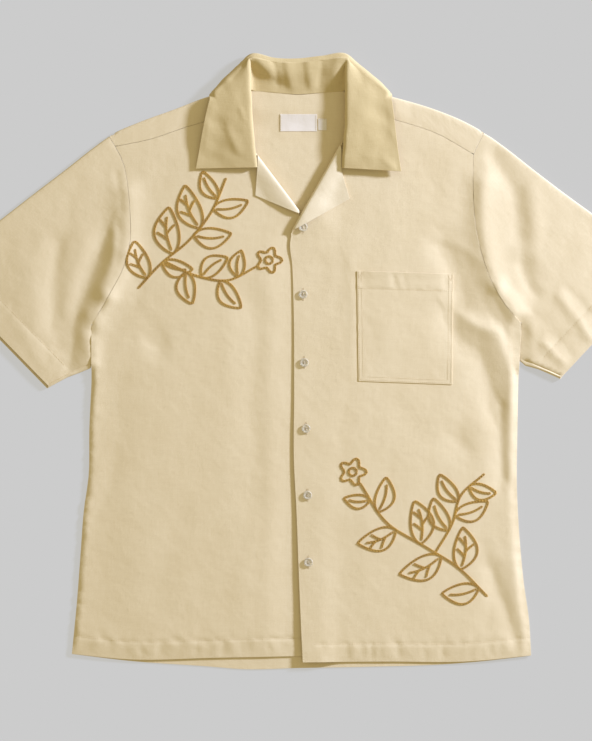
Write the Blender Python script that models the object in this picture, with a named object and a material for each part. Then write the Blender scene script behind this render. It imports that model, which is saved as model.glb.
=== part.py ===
"""A short-sleeved camp shirt, buttoned and laid flat with its face up.

The tables are in millimetres, and MM turns them into metres where a mesh is made. +X is the wearer's left,
+Y runs from hem to neck, and +Z rises from the surface that the shirt lies on. The origin is on that
surface, in the middle of the shirt's outline. "right" and "left" are the wearer's own.

Every piece of cloth is a wall about a middle surface. A panel is a flat cut piece, filled with triangles and
laid out by a function that gives the place of each of its points, rolls and folds included.
"""

import math
from collections import namedtuple

import bpy
import numpy as np
from mathutils.geometry import delaunay_2d_cdt

MM = 0.001

# Walls and the gaps between them
CLOTH = 1.0
COLLAR_CLOTH = 1.6
GAP = 0.3
PLY = CLOTH + GAP
SEAM_HALF = 0.2

# Heights of the pile: the lower layer's middle, and the upper layer's middle above it
REST = CLOTH / 2
LOFT = 3.7
EDGE_ROLL = LOFT / 2
COLLAR_REST = COLLAR_CLOTH / 2

# The back rises near the neck to clear the collar's fall, which lies under it
NECK_RISE = 1.9
NECK_FROM_Y, NECK_TO_Y = 298.0, 322.0
NECK_HALF, NECK_FADE = 122.0, 24.0

# Spacing of the points that fill a panel
BACK_STEP = 44.0
FRONT_STEP = 29.0
EDGE_STEP = 15.0
ROW_STEP = 12.0
LAPEL_RADIUS = 2.05
ARC_SHARES = (0.0, 0.25, 0.5, 0.75, 1.0)

# Lapels. The tip of each settles a little, from one distance past the roll to the next
LAPEL_RADIUS = 2.05
LAPEL_SETTLE, SETTLE_FROM, SETTLE_TO = 0.9, 8.0, 40.0
LAPEL_ROWS_FROM, LAPEL_ROWS_TO, LAPEL_LAST_ROW = -30.0, 110.0, 9.0
ROLL_BEND = 1.2
FACING_INSIDE = 3.0
FACING_FOOT = {"right": 184.0, "left": 151.0}

BUTTON_RADIUS = 5.7
BUTTON_THICK = 2.2
BUTTON_SIDES = 20
BUTTON_SEAT = 0.35
HOLE_RADIUS, HOLE_FROM_AXIS, HOLE_SIDES = 0.75, 1.35, 8

SIDES = {"right": -1, "left": 1}

# Outline of the upper edge of shoulders and sleeves, as seen from above
SHOULDER_LINE = [
    (-466.6, 116.5), (-379.5, 181.8), (-340, 212.5), (-300, 243), (-260.5, 273.9), (-238.7, 289.3),
    (-204.2, 304.6), (-161.9, 320), (-118, 336.5), (-88, 344.5), (-60, 347.5), (60, 347),
    (88, 344), (119, 336.5), (174.7, 320), (211.8, 304.6), (238.7, 289.3), (260.5, 273.9),
    (300, 243), (340, 212.5), (374.4, 187.5), (466.6, 120.3),
]
ARMHOLE = {
    "right": [(-243.5, 286.2), (-239.5, 278.5), (-232.5, 268.3), (-224.6, 249.6), (-219.5, 222),
              (-217, 193.8), (-217.7, 143.4), (-225.5, 117), (-238, 92.7), (-265.6, 44.8)],
    "left": [(236, 290.4), (231.6, 281.6), (224.6, 269.6), (222, 240.6), (222.5, 208.9),
             (224.3, 178.6), (233.1, 135.7), (247, 97.5), (263, 70.4), (283.5, 47.4)],
}
SHOULDER_SEAM = {
    "right": [(-191.4, 282.2), (-140, 299.5), (-121.6, 304.6), (-70.5, 321)],
    "left": [(175, 290), (122.2, 307.2), (70, 321)],
}
SIDE_SEAM = {
    "right": [(-265.6, 44.8), (-268, -18), (-270.2, -90), (-271, -150), (-278, -190), (-283.5, -264),
              (-286, -310), (-291.2, -376)],
    "left": [(283.5, 47.4), (283.2, -18), (279, -80), (278.4, -170), (283, -225), (287, -285),
             (294, -335), (296.3, -378)],
}
BACK_NECK = [(58, 344.1), (28, 341.9), (-2, 339.5), (-32, 342.5), (-62, 345.4)]
ROLLED_NECK = {
    "right": [(-70.5, 321), (-68, 330), (-65.2, 338), (-63.4, 343.4)],
    "left": [(70, 321), (66.6, 330), (63, 338), (60.8, 343.2)],
}
BACK_HEM = [(-291.2, -376.3), (-218, -385), (-115, -392.3), (-76, -395.5), (0, -394.2), (85, -392.6),
            (178.6, -389.8), (220.8, -386.8), (296.3, -378.5)]
FRONT_HEM = {
    "right": [(18, -378.5), (-108, -381), (-218, -383), (-291.2, -376)],
    "left": [(4.1, -386.6), (107, -385.8), (220.8, -385.3), (296.3, -378)],
}
# The wearer's left front lies on top. The right one runs on under it, out of sight
FRONT_EDGE = {
    "right": [(-1.2, 187.4), (10.5, 169), (17, 150), (18, 100), (18, -378.5)],
    "left": [(-11, 157.8), (-12.2, 150), (-9.6, 122.9), (-7.8, 74.2), (-7, -39.7), (-7.2, -130.6),
             (-4.1, -191.6), (-1, -273.3), (2, -344.7), (4.1, -386.6)],
}
LAPEL_EDGE = {"right": [(-40, 258.7), (-2.8, 250.9)], "left": [(22.1, 259.9), (-14.2, 250.6)]}
LAPEL_FOOT = {"right": (4.2, 191.5), "left": (-11, 157.8)}
FRONT_NECK = {
    "right": [(-70.5, 321), (-67.5, 302), (-64.5, 286), (-61, 272), (-57, 264), (-52.5, 262.3),
              (-45.8, 260.3), (-40, 258.7)],
    "left": [(70, 321), (65.8, 301), (61.5, 288), (56.8, 279.5), (52.6, 277.2), (46.1, 274.4),
             (39.3, 270.3), (22.1, 259.9)],
}
# Line about which each lapel turns back, from the front edge up to the neck
Roll = namedtuple("Roll", "x0 y0 x1 y1")
LAPEL_ROLL = {"right": Roll(-1.1, 187.5, -56.5, 261.0), "left": Roll(5.1, 186.4, 56.6, 277.8)}

SLEEVE_HEM = {"right": [(-466.6, 116.5), (-320.6, -34.6)], "left": [(466.6, 120.3), (333.4, -23)]}
UNDERARM = {
    "right": [(-266.1, 44.8), (-268.4, 15), (-269.1, -7.7), (-294, -20.5), (-320.6, -34.6)],
    "left": [(284.6, 47.4), (285.2, 20), (285.0, -1.3), (308, -12.5), (333.4, -23)],
}
LOWER_HEM_SHOWS = {"right": 3.5, "left": 1.0}
HEM_SHIFT_FADE = 60.0
TURN_ANGLES = [math.pi * share for share in (0.25, 0.5, 0.75)]

POCKET = [(73.6, 113.9), (75.5, -26.9), (195.2, -31.4), (196.5, 110.1)]
NECK_LABEL = [(-25, 314.6), (-25, 292.6), (22.4, 292.6), (22.4, 314.6)]
SIZE_LABEL = [(23.9, 308.9), (23.9, 294.1), (34.6, 294.1), (34.6, 308.9)]
BUTTONS = [(4.5, 169.8), (4.5, 84), (6, -3.3), (8.2, -87.7), (10.2, -172.8), (11.3, -258.6)]

# Folds of the upper layer: a soft ridge, or a trough where the height is negative
Fold = namedtuple("Fold", "x0 y0 x1 y1 width height")
SHARED_FOLDS = [
    Fold(-221, 208, -219, 150, 15, 2.6),
    Fold(-224, 130, -244, 88, 15, 5.2),
    Fold(-248, 78, -262, 52, 12, 3.6),
    Fold(250, 190, 249, 108, 12, 3.0),
    Fold(256, 88, 277, 56, 12, 4.6),
]
FRONT_FOLDS = [
    Fold(190, 146, 228, 86, 15, -1.6),
    Fold(203, 44, 236, 24, 15, -1.7),
    Fold(240, 14, 262, -42, 13, -2.0),
    Fold(283, 10, 280, -60, 12, 3.6),
    Fold(268, -78, 268, -152, 9, -1.4),
    Fold(262, -258, 264, -330, 13, -1.5),
    Fold(203, -96, 203, -112, 15, -1.2),
    Fold(-182, 24, -182, 12, 15, -1.5),
    Fold(-58, 70, -60, -178, 20, -0.8),
    Fold(-256, 20, -262, -60, 12, 1.6),
]
SLEEVE_FOLDS = [
    Fold(-309, 147, -314, 46, 13, -1.6),
    Fold(-258, 150, -276, 78, 14, -1.7),
    Fold(-284, 42, -295, -8, 14, -1.9),
    Fold(-350, 120, -352, 40, 20, 0.9),
    Fold(276, 244, 276, 158, 12, -1.5),
    Fold(286, 118, 287, 90, 12, -1.3),
    Fold(300, 220, 306, 130, 15, 1.2),
    Fold(334, 80, 368, 30, 7, 1.0),
    Fold(314, 20, 334, 0, 7, 1.0),
]
FOLD_FADE = 22.0
SIDE_TURN, HEM_TURN, HEM_LIFT = 13.0, 26.0, 8.0
ROW_CLEAR = 1.2
SHOULDER_ROWS_FROM, SHOULDER_ROWS_TO = 68.0, 236.0
NECK_EDGE = Fold(-120, 310, 120, 310, 12, 0)
TIP_CLEAR = 6.0

# Height of the left front's edge above the right front, from neck to hem
PLACKET_RISE = [(-386, 3.6), (-300, 2.6), (-170, 1.6), (0, 0.9), (122, 0.5), (146, 1.8), (240, 1.8)]
PLACKET_FLAT_X, PLACKET_END_X = 24.0, 56.0
PLACKET_TOP, PLACKET_FULL = 216.0, 192.0

# The right front sinks under the left one from these lines to these
SINK_FROM_X, SUNK_X, SINK_FROM_Y, SUNK_Y = -45.0, -8.0, 186.0, 150.0
SUNK_GAP = 0.1
UNDERLAP_X = 20.0

# The collar, station by station from the right leaf's tip, round the back neck, to the left leaf's tip: the
# neck seam, the middle of the stand, the crest of the roll, the outer edge, the length past it and the turn
Station = namedtuple(
    "Station",
    "neck_x neck_y neck_z stand_x stand_y crest_x crest_y crest_z edge_x edge_y edge_z behind turn",
)
COLLAR = [
    Station(-55.3, 246.0, 8.8, -55.2, 246.0, -58.7, 245.8, 11.0, -133.8, 244.5, 7.6, 9, 0),
    Station(-56.6, 264.0, 8.0, -56.4, 264.0, -60.4, 264.0, 13.0, -130.0, 268.0, 9.8, 9, 0),
    Station(-63.0, 281.5, 6.6, -58.2, 283.5, -62.6, 284.0, 14.6, -126.5, 294.0, 12.6, 9, 0),
    Station(-68.0, 300.0, 6.6, -60.2, 306.0, -65.0, 308.0, 15.6, -122.0, 317.0, 14.2, 9, 0),
    Station(-71.0, 321.0, 8.4, -61.6, 330.0, -65.8, 331.5, 16.0, -118.2, 334.0, 14.4, 9, 0),
    Station(-70.2, 328.0, 8.4, -62.0, 340.0, -66.0, 341.0, 15.8, -115.0, 343.5, 13.6, 3, 90),
    Station(-69.0, 333.5, 8.4, -62.4, 350.0, -66.4, 351.5, 15.6, -109.5, 351.0, 13.0, 6, 180),
    Station(-67.0, 339.5, 8.4, -62.8, 366.5, -66.3, 368.0, 15.0, -94.0, 366.5, 12.4, 20, 180),
    Station(-64.8, 346.5, 8.2, -63.0, 379.5, -66.0, 382.0, 14.2, -78.0, 381.4, 11.8, 36, 180),
    Station(-58.5, 346.2, 3.3, -58.6, 374.0, -59.2, 386.0, 12.6, -60.5, 395.3, 12.2, 58, 180),
    Station(-32.0, 343.4, 3.1, -32.0, 362.5, -32.0, 382.5, 11.4, -32.5, 392.0, 11.2, 61, 180),
    Station(-2.0, 340.4, 3.1, -2.0, 359.0, -2.0, 378.5, 10.8, -2.0, 388.2, 10.6, 60, 180),
    Station(28.0, 342.8, 3.1, 28.0, 361.5, 28.0, 381.5, 11.4, 28.0, 391.7, 11.2, 60, 180),
    Station(54.8, 345.0, 3.3, 55.4, 372.0, 56.5, 384.0, 12.6, 58.5, 392.8, 12.2, 58, 180),
    Station(62.2, 346.3, 8.2, 59.5, 378.0, 62.6, 380.5, 14.2, 76.8, 381.6, 11.8, 36, 180),
    Station(64.4, 339.5, 8.4, 59.5, 365.5, 63.0, 367.0, 15.0, 94.0, 366.5, 12.0, 20, 180),
    Station(67.4, 333.5, 8.4, 59.4, 350.0, 63.2, 351.5, 15.4, 111.0, 351.0, 12.0, 6, 180),
    Station(69.4, 328.0, 8.4, 59.2, 340.0, 63.3, 341.0, 15.6, 116.2, 343.5, 12.2, 3, 90),
    Station(70.6, 321.0, 8.4, 59.0, 330.0, 63.4, 331.5, 15.8, 119.4, 334.0, 12.5, 9, 0),
    Station(66.6, 300.0, 6.6, 58.0, 306.0, 62.8, 308.0, 15.4, 122.0, 317.0, 12.2, 9, 0),
    Station(59.4, 281.5, 7.0, 57.0, 283.5, 61.5, 284.0, 14.6, 125.0, 294.0, 11.8, 9, 0),
    Station(55.4, 262.0, 8.8, 55.8, 262.3, 60.0, 262.3, 13.4, 127.6, 268.0, 11.6, 9, 0),
    Station(55.3, 245.2, 8.8, 55.2, 245.2, 58.5, 245.0, 11.6, 130.0, 240.8, 11.4, 9, 0),
]
EDGE_PLAN = slice(Station._fields.index("edge_x"), Station._fields.index("edge_z"))
EVENED = ("behind", "turn")
COLLAR_STATIONS = 46
STAND_STEPS, LEAF_STEPS, FALL_STEPS = 5, 4, 7


def smooth(t):
    """Ease from 0 to 1 as t goes from 0 to 1."""
    t = np.clip(t, 0.0, 1.0)
    return t * t * (3.0 - 2.0 * t)


def between(value, start, end):
    """Ease from 0 where the value is at start to 1 where it is at end."""
    return smooth((value - start) / (end - start))


def chord_lengths(points):
    """Distance of each point along the line through them all."""
    steps = np.linalg.norm(np.diff(points, axis=0), axis=1)
    return np.concatenate([[0.0], np.cumsum(steps)])


def on_spline(values, along, at):
    """Rows of values at the given distances, on a cubic spline through the rows."""
    slopes = np.gradient(values, along, axis=0)
    i = np.clip(np.searchsorted(along, at, side="right") - 1, 0, len(along) - 2)
    width = (along[i + 1] - along[i])[:, None]
    t = (at - along[i])[:, None] / width
    start, end = values[i], values[i + 1]
    return (
        (2 * t**3 - 3 * t**2 + 1) * start
        + (t**3 - 2 * t**2 + t) * width * slopes[i]
        + (3 * t**2 - 2 * t**3) * end
        + (t**3 - t**2) * width * slopes[i + 1]
    )


def curve(knots, step):
    """Points about a step apart on a smooth curve through the knots."""
    knots = np.asarray(knots, float)
    along = chord_lengths(knots)
    count = max(1, round(along[-1] / step))
    return on_spline(knots, along, np.linspace(0.0, along[-1], count + 1))


def moved_aside(line, distance):
    """A line moved to its left by a distance, in the plane."""
    run = np.gradient(line, axis=0)
    run /= np.linalg.norm(run, axis=1)[:, None]
    return line + distance * np.stack([-run[:, 1], run[:, 0]], axis=1)


def distance_to(points, line):
    """Distance in the plane from each point to a line of straight pieces."""
    best = np.full(len(points), np.inf)
    for a, b in zip(line[:-1], line[1:]):
        run = b - a
        t = np.clip((points - a) @ run / max(run @ run, 1e-12), 0.0, 1.0)
        best = np.minimum(best, np.linalg.norm(points - a - t[:, None] * run, axis=1))
    return best


def is_inside(points, outline):
    """Whether each point lies inside a closed outline."""
    x, y = points[:, 0], points[:, 1]
    inside = np.zeros(len(points), bool)
    for (ax, ay), (bx, by) in zip(outline, np.roll(outline, -1, axis=0)):
        if ay != by:
            crosses = (ay > y) != (by > y)
            inside ^= crosses & (x < (bx - ax) * (y - ay) / (by - ay) + ax)
    return inside


def joined(*lines):
    """Lines end to end as one closed outline, with each shared corner once."""
    points = np.concatenate([np.asarray(line, float) for line in lines])
    step = np.linalg.norm(points - np.roll(points, 1, axis=0), axis=1)
    return points[step > 0.05]


# Heights of the cloth

def neck_rise(x, y):
    """How far the pile is lifted over the collar's fall."""
    across = between(NECK_HALF + NECK_FADE - abs(x), 0, NECK_FADE)
    return NECK_RISE * between(y, NECK_FROM_Y, NECK_TO_Y) * across


def lower_height(x, y):
    """Middle of the layer that lies on the ground."""
    return REST + neck_rise(x, y)


def fold_sum(x, y, folds):
    """Height that a table of folds adds at each point."""
    total = np.zeros_like(x)
    for fold in folds:
        run_x, run_y = fold.x1 - fold.x0, fold.y1 - fold.y0
        t = ((x - fold.x0) * run_x + (y - fold.y0) * run_y) / (run_x**2 + run_y**2)
        t = np.clip(t, 0.0, 1.0)
        off = np.hypot(x - fold.x0 - t * run_x, y - fold.y0 - t * run_y)
        total += fold.height * np.exp(-((off / fold.width) ** 2))
    return total


def from_armhole(x, y):
    """Ease from 0 on the armhole seams to 1 clear of them."""
    points = np.stack([x, y], axis=1)
    away = np.minimum(distance_to(points, ARMHOLE_LINE["right"]), distance_to(points, ARMHOLE_LINE["left"]))
    return between(away, 0.0, FOLD_FADE)


def upper_height(x, y, own_folds=()):
    """Middle of the layer on top, on the fronts and the sleeves."""
    height = LOFT + fold_sum(x, y, SHARED_FOLDS)
    if own_folds:
        height += fold_sum(x, y, own_folds) * from_armhole(x, y)
    return lower_height(x, y) + np.maximum(height, PLY)


def front_height(x, y, side):
    """Middle of a front where nothing lies under it but the back."""
    points = np.stack([x, y], axis=1)
    lowest = lower_height(x, y) + PLY
    turn = between(distance_to(points, SIDE_LINE[side]), 0.0, SIDE_TURN)
    turn *= between(distance_to(points, HEM_LINE[side]), -HEM_LIFT, HEM_TURN)
    return lowest + (upper_height(x, y, FRONT_FOLDS) - lowest) * turn


def right_front_height(x, y):
    """Middle of the right front, which sinks to the back under the left one."""
    sunk = between(x, SINK_FROM_X, SUNK_X) * between(y, SINK_FROM_Y, SUNK_Y)
    return front_height(x, y, "right") * (1 - sunk) + (lower_height(x, y) + PLY + SUNK_GAP) * sunk


def left_front_height(x, y):
    """Middle of the left front, whose edge lies over the right front."""
    rise = np.interp(y, *zip(*PLACKET_RISE))
    over = right_front_height(np.minimum(x, UNDERLAP_X), y) + PLY + rise
    near = between(x, PLACKET_END_X, PLACKET_FLAT_X) * between(y, PLACKET_TOP, PLACKET_FULL)
    return front_height(x, y, "left") * (1 - near) + over * near


FRONT_HEIGHT = {"right": right_front_height, "left": left_front_height}


# Where the points of each cut piece lie

def roll_axes(side):
    """Start, direction and normal of a lapel's roll line, the normal pointing to the neck opening."""
    roll = LAPEL_ROLL[side]
    start = np.array([roll.x0, roll.y0])
    run = np.array([roll.x1, roll.y1]) - start
    run /= np.linalg.norm(run)
    normal = np.array([-run[1], run[0]]) * SIDES[side]
    return start, run, normal


def past_roll(flat, side):
    """How far each point of a front's cut piece lies past the roll line, which bends away above its end."""
    start, run, normal = roll_axes(side)
    roll = LAPEL_ROLL[side]
    length = math.hypot(roll.x1 - roll.x0, roll.y1 - roll.y0)
    above = np.maximum((flat - start) @ run - length, 0.0)
    return (flat - start) @ normal - ROLL_BEND * above


def place_front(flat, side):
    """Places of a front's points, with the part past the roll line turned back as the lapel."""
    _, _, normal = roll_axes(side)
    past = past_roll(flat, side)
    angle = np.clip(past / LAPEL_RADIUS, 0.0, math.pi)
    beyond = np.maximum(past - math.pi * LAPEL_RADIUS, 0.0)
    across = np.where(past < 0, past, LAPEL_RADIUS * np.sin(angle) - beyond)
    ground = flat + (across - past)[:, None] * normal
    height = FRONT_HEIGHT[side](ground[:, 0], ground[:, 1]) + LAPEL_RADIUS * (1 - np.cos(angle))
    return np.column_stack([ground, height - LAPEL_SETTLE * between(beyond, SETTLE_FROM, SETTLE_TO)])


def fold_start(x):
    """Where the back begins to turn over the shoulder."""
    xs, ys = SHOULDER_CURVE.T
    return np.interp(x, xs, ys) - EDGE_ROLL - CLOTH / 2


def unrolled(ground):
    """Cut points of the back for points of its part that lies over the shoulder."""
    start = fold_start(ground[:, 0])
    return np.column_stack([ground[:, 0], 2 * start + math.pi * EDGE_ROLL - ground[:, 1]])


def place_back(flat):
    """Places of the back's points, with the part past the shoulder line turned over to the front."""
    x, start = flat[:, 0], fold_start(flat[:, 0])
    past = flat[:, 1] - start
    angle = np.clip(past / EDGE_ROLL, 0.0, math.pi)
    beyond = np.maximum(past - math.pi * EDGE_ROLL, 0.0)
    y = np.where(past < 0, flat[:, 1], start + EDGE_ROLL * np.sin(angle) - beyond)
    low, high = lower_height(x, y), upper_height(x, y)
    return np.column_stack([x, y, low + (high - low) * (1 - np.cos(angle)) / 2])


# Meshes

def material(name, colour, roughness, sheen=0.0):
    """A plain material in the piece's own colour, given as sRGB bytes."""
    linear = [((c / 255 + 0.055) / 1.055) ** 2.4 for c in colour]
    made = bpy.data.materials.new(name)
    made.use_nodes = True
    shader = made.node_tree.nodes["Principled BSDF"]
    shader.inputs["Base Color"].default_value = (*linear, 1.0)
    shader.inputs["Roughness"].default_value = roughness
    shader.inputs["Metallic"].default_value = 0.0
    shader.inputs["Sheen Weight"].default_value = sheen
    made.diffuse_color = (*linear, 1.0)
    return made


def mesh_object(name, points, faces, finish):
    """One object from points in millimetres and its faces."""
    mesh = bpy.data.meshes.new(name)
    mesh.from_pydata((np.asarray(points) * MM).tolist(), [], [list(map(int, face)) for face in faces])
    mesh.shade_smooth()
    mesh.set_sharp_from_angle(angle=math.radians(40))
    mesh.materials.append(finish)
    thing = bpy.data.objects.new(name, mesh)
    bpy.context.scene.collection.objects.link(thing)
    return thing


def point_normals(points, faces):
    """Normals at the points of a surface of triangles."""
    a, b, c = (points[faces[:, i]] for i in range(3))
    across = np.cross(b - a, c - a)
    normals = np.zeros_like(points)
    for i in range(3):
        np.add.at(normals, faces[:, i], across)
    return normals / np.linalg.norm(normals, axis=1)[:, None]


def wall(name, points, normals, faces, low, high, finish):
    """A closed wall between two offsets from a surface, along its normals."""
    used, index = np.unique(faces, return_inverse=True)
    faces = index.reshape(-1, 3)
    points, normals = points[used], normals[used]
    count = len(used)
    ends = {}
    for face in faces:
        for a, b in zip(face, np.roll(face, -1)):
            ends[a, b] = True
    rim = [(a, b) for a, b in ends if (b, a) not in ends]
    solid = [*faces, *(faces[:, ::-1] + count)]
    for a, b in rim:
        solid += [(b, a, a + count), (b, a + count, b + count)]
    walls = np.concatenate([points + high * normals, points + low * normals])
    return mesh_object(name, walls, solid, finish)


def clear_of(row, outline):
    """The points of a row that lie well inside an outline."""
    ring = np.vstack([outline, outline[:1]])
    return row[is_inside(row, outline) & (distance_to(row, ring) > ROW_CLEAR)]


class Panel:
    """A cut piece of cloth: triangles in its flat outline, and the place of each of its points."""

    def __init__(self, outline, step, place, rows=(), patches=(), fine=()):
        """Fill the outline, with points along the rows and patch outlines, closer together near folds."""
        fixed = [outline, *rows, *patches]
        points = np.concatenate(fixed)
        edges, first = [], 0
        for line in fixed:
            count = len(line)
            closed = line is outline or any(line is patch for patch in patches)
            edges += [(first + i, first + i + 1) for i in range(count - 1)]
            edges += [(first + count - 1, first)] if closed else []
            first += count
        fill = self.lattice(outline, step, fixed, fine)
        points = np.concatenate([points, fill])
        made = delaunay_2d_cdt([tuple(p) for p in points], edges, [], 1, 1e-4)
        self.flat = np.array([tuple(p) for p in made[0]])
        faces = np.array(made[2])
        a, b, c = (self.flat[faces[:, i]] for i in range(3))
        area = (b - a)[:, 0] * (c - a)[:, 1] - (b - a)[:, 1] * (c - a)[:, 0]
        self.faces = np.where((area < 0)[:, None], faces[:, ::-1], faces)
        self.points = place(self.flat)
        self.normals = point_normals(self.points, self.faces)

    @staticmethod
    def lattice(outline, step, fixed, fine):
        """Points inside the outline on a triangular lattice, twice as close together along the folds."""
        half, rise = step / 2, step / 2 * math.sqrt(3) / 2
        low, high = outline.min(axis=0), outline.max(axis=0)
        points, coarse = [], []
        for row in range(int((high[1] - low[1]) / rise) + 1):
            for column in range(int((high[0] - low[0]) / half) + 2):
                points.append((low[0] + (column + 0.5 * (row % 2)) * half, low[1] + row * rise))
                coarse.append((row % 4 == 0 and column % 2 == 0) or (row % 4 == 2 and column % 2 == 1))
        points, coarse = np.array(points), np.array(coarse)
        near = np.zeros(len(points), bool)
        for fold in fine:
            line = np.array([(fold.x0, fold.y0), (fold.x1, fold.y1)])
            near |= distance_to(points, line) < 1.5 * fold.width + half / 2
        room = np.where(near, half, step) * 0.5
        keep = (coarse | near) & is_inside(points, outline)
        for line in fixed:
            ring = np.vstack([line, line[:1]]) if line is outline else line
            keep &= distance_to(points, ring) > room
        return points[keep]

    def solid(self, name, finish, low=-CLOTH / 2, high=CLOTH / 2, keep=None):
        """A wall on the whole panel, or on the triangles whose middles are kept."""
        faces = self.faces
        if keep is not None:
            faces = faces[keep(self.flat[faces].mean(axis=1))]
        return wall(name, self.points, self.normals, faces, low, high, finish)


def armhole_split(side):
    """The armhole line from the shoulder point to the seam's end, and on to the underarm."""
    line = ARMHOLE_LINE[side]
    at = int(np.argmin(np.linalg.norm(line - np.array(ARMHOLE[side][2]), axis=1)))
    return line[: at + 1], line[at:]


def shoulder_seam(side):
    """Forward shoulder seam from the armhole to the neck."""
    top, _ = armhole_split(side)
    return curve([tuple(top[-1]), *SHOULDER_SEAM[side]], EDGE_STEP)


def patch_line(corners):
    """Closed outline of a patch, with points along its edges."""
    ring = [*corners, corners[0]]
    return joined(*(curve([a, b], EDGE_STEP) for a, b in zip(ring[:-1], ring[1:])))


def back_half_outline(side):
    """Cut outline of the back from the underarm, round the shoulder, to the neck."""
    inward = SEAM_HALF * SIDES[side]
    lower = moved_aside(ARMHOLE_LINE[side][::-1], inward)
    lower = lower[lower[:, 1] < fold_start(lower[:, 0])]
    top = moved_aside(armhole_split(side)[0], -inward)
    top = top[top[:, 1] < fold_start(top[:, 0])]
    tip_x = (lower[-1, 0] + top[0, 0]) / 2
    start = fold_start(tip_x)
    arc = np.array([(tip_x, start + math.pi * EDGE_ROLL * t) for t in ARC_SHARES])
    seam = moved_aside(shoulder_seam(side), -inward)
    neck = curve(ROLLED_NECK[side], EDGE_STEP / 2)
    neck_x = neck[-1, 0]
    neck_start = fold_start(neck_x)
    neck_arc = np.array([(neck_x, neck_start + math.pi * EDGE_ROLL * t) for t in (1.0, 0.75, 0.5, 0.25)])
    return joined(lower, arc, unrolled(top), unrolled(seam)[1:], unrolled(neck)[1:], neck_arc)


def back_panel():
    """The back, with its forward shoulders turned over."""
    left, right = back_half_outline("left"), back_half_outline("right")[::-1]
    outline = joined(
        curve(BACK_HEM, EDGE_STEP * 2)[:-1],
        curve(SIDE_SEAM["left"][::-1], EDGE_STEP * 2)[:-1],
        left,
        curve(BACK_NECK, EDGE_STEP),
        right,
        curve(SIDE_SEAM["right"], EDGE_STEP * 2)[1:-1],
    )
    rows = []
    for side, sign in SIDES.items():
        xs = sign * np.arange(SHOULDER_ROWS_FROM, SHOULDER_ROWS_TO, ROW_STEP)
        for t in ARC_SHARES:
            row = np.column_stack([xs, fold_start(xs) + math.pi * EDGE_ROLL * t])
            rows.append(clear_of(row, outline))
    patches = [patch_line(NECK_LABEL), patch_line(SIZE_LABEL)]
    return Panel(outline, BACK_STEP, place_back, rows, patches, [NECK_EDGE])


def front_panel(side):
    """One front, with its lapel turned back and, on the left, the pocket's outline in its points."""
    sign = SIDES[side]
    inward = SEAM_HALF * sign
    armhole = moved_aside(armhole_split(side)[1], -inward)
    seam = moved_aside(shoulder_seam(side), inward)
    parts = [
        curve(FRONT_HEM[side], EDGE_STEP),
        curve(SIDE_SEAM[side][::-1], EDGE_STEP)[1:-1],
        armhole[::-1],
        seam[1:],
        curve(FRONT_NECK[side], EDGE_STEP / 2)[1:],
        curve(LAPEL_EDGE[side], EDGE_STEP)[1:],
        curve([LAPEL_EDGE[side][1], LAPEL_FOOT[side]], EDGE_STEP)[1:],
        curve(FRONT_EDGE[side], EDGE_STEP)[:-1],
    ]
    outline = joined(*parts)
    start, run, normal = roll_axes(side)
    along = np.arange(LAPEL_ROWS_FROM, LAPEL_ROWS_TO, ROW_STEP)
    round_roll = [math.pi * LAPEL_RADIUS * t for t in ARC_SHARES]
    rows = []
    for past in (-FACING_INSIDE, *round_roll, LAPEL_LAST_ROW):
        rows.append(clear_of(start + along[:, None] * run + past * normal, outline))
    patches = [patch_line(POCKET)] if side == "left" else []
    fine = [fold for fold in SHARED_FOLDS + FRONT_FOLDS if fold.x0 * sign > 0]
    return Panel(outline, FRONT_STEP, lambda flat: place_front(flat, side), rows, patches, fine)


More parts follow.
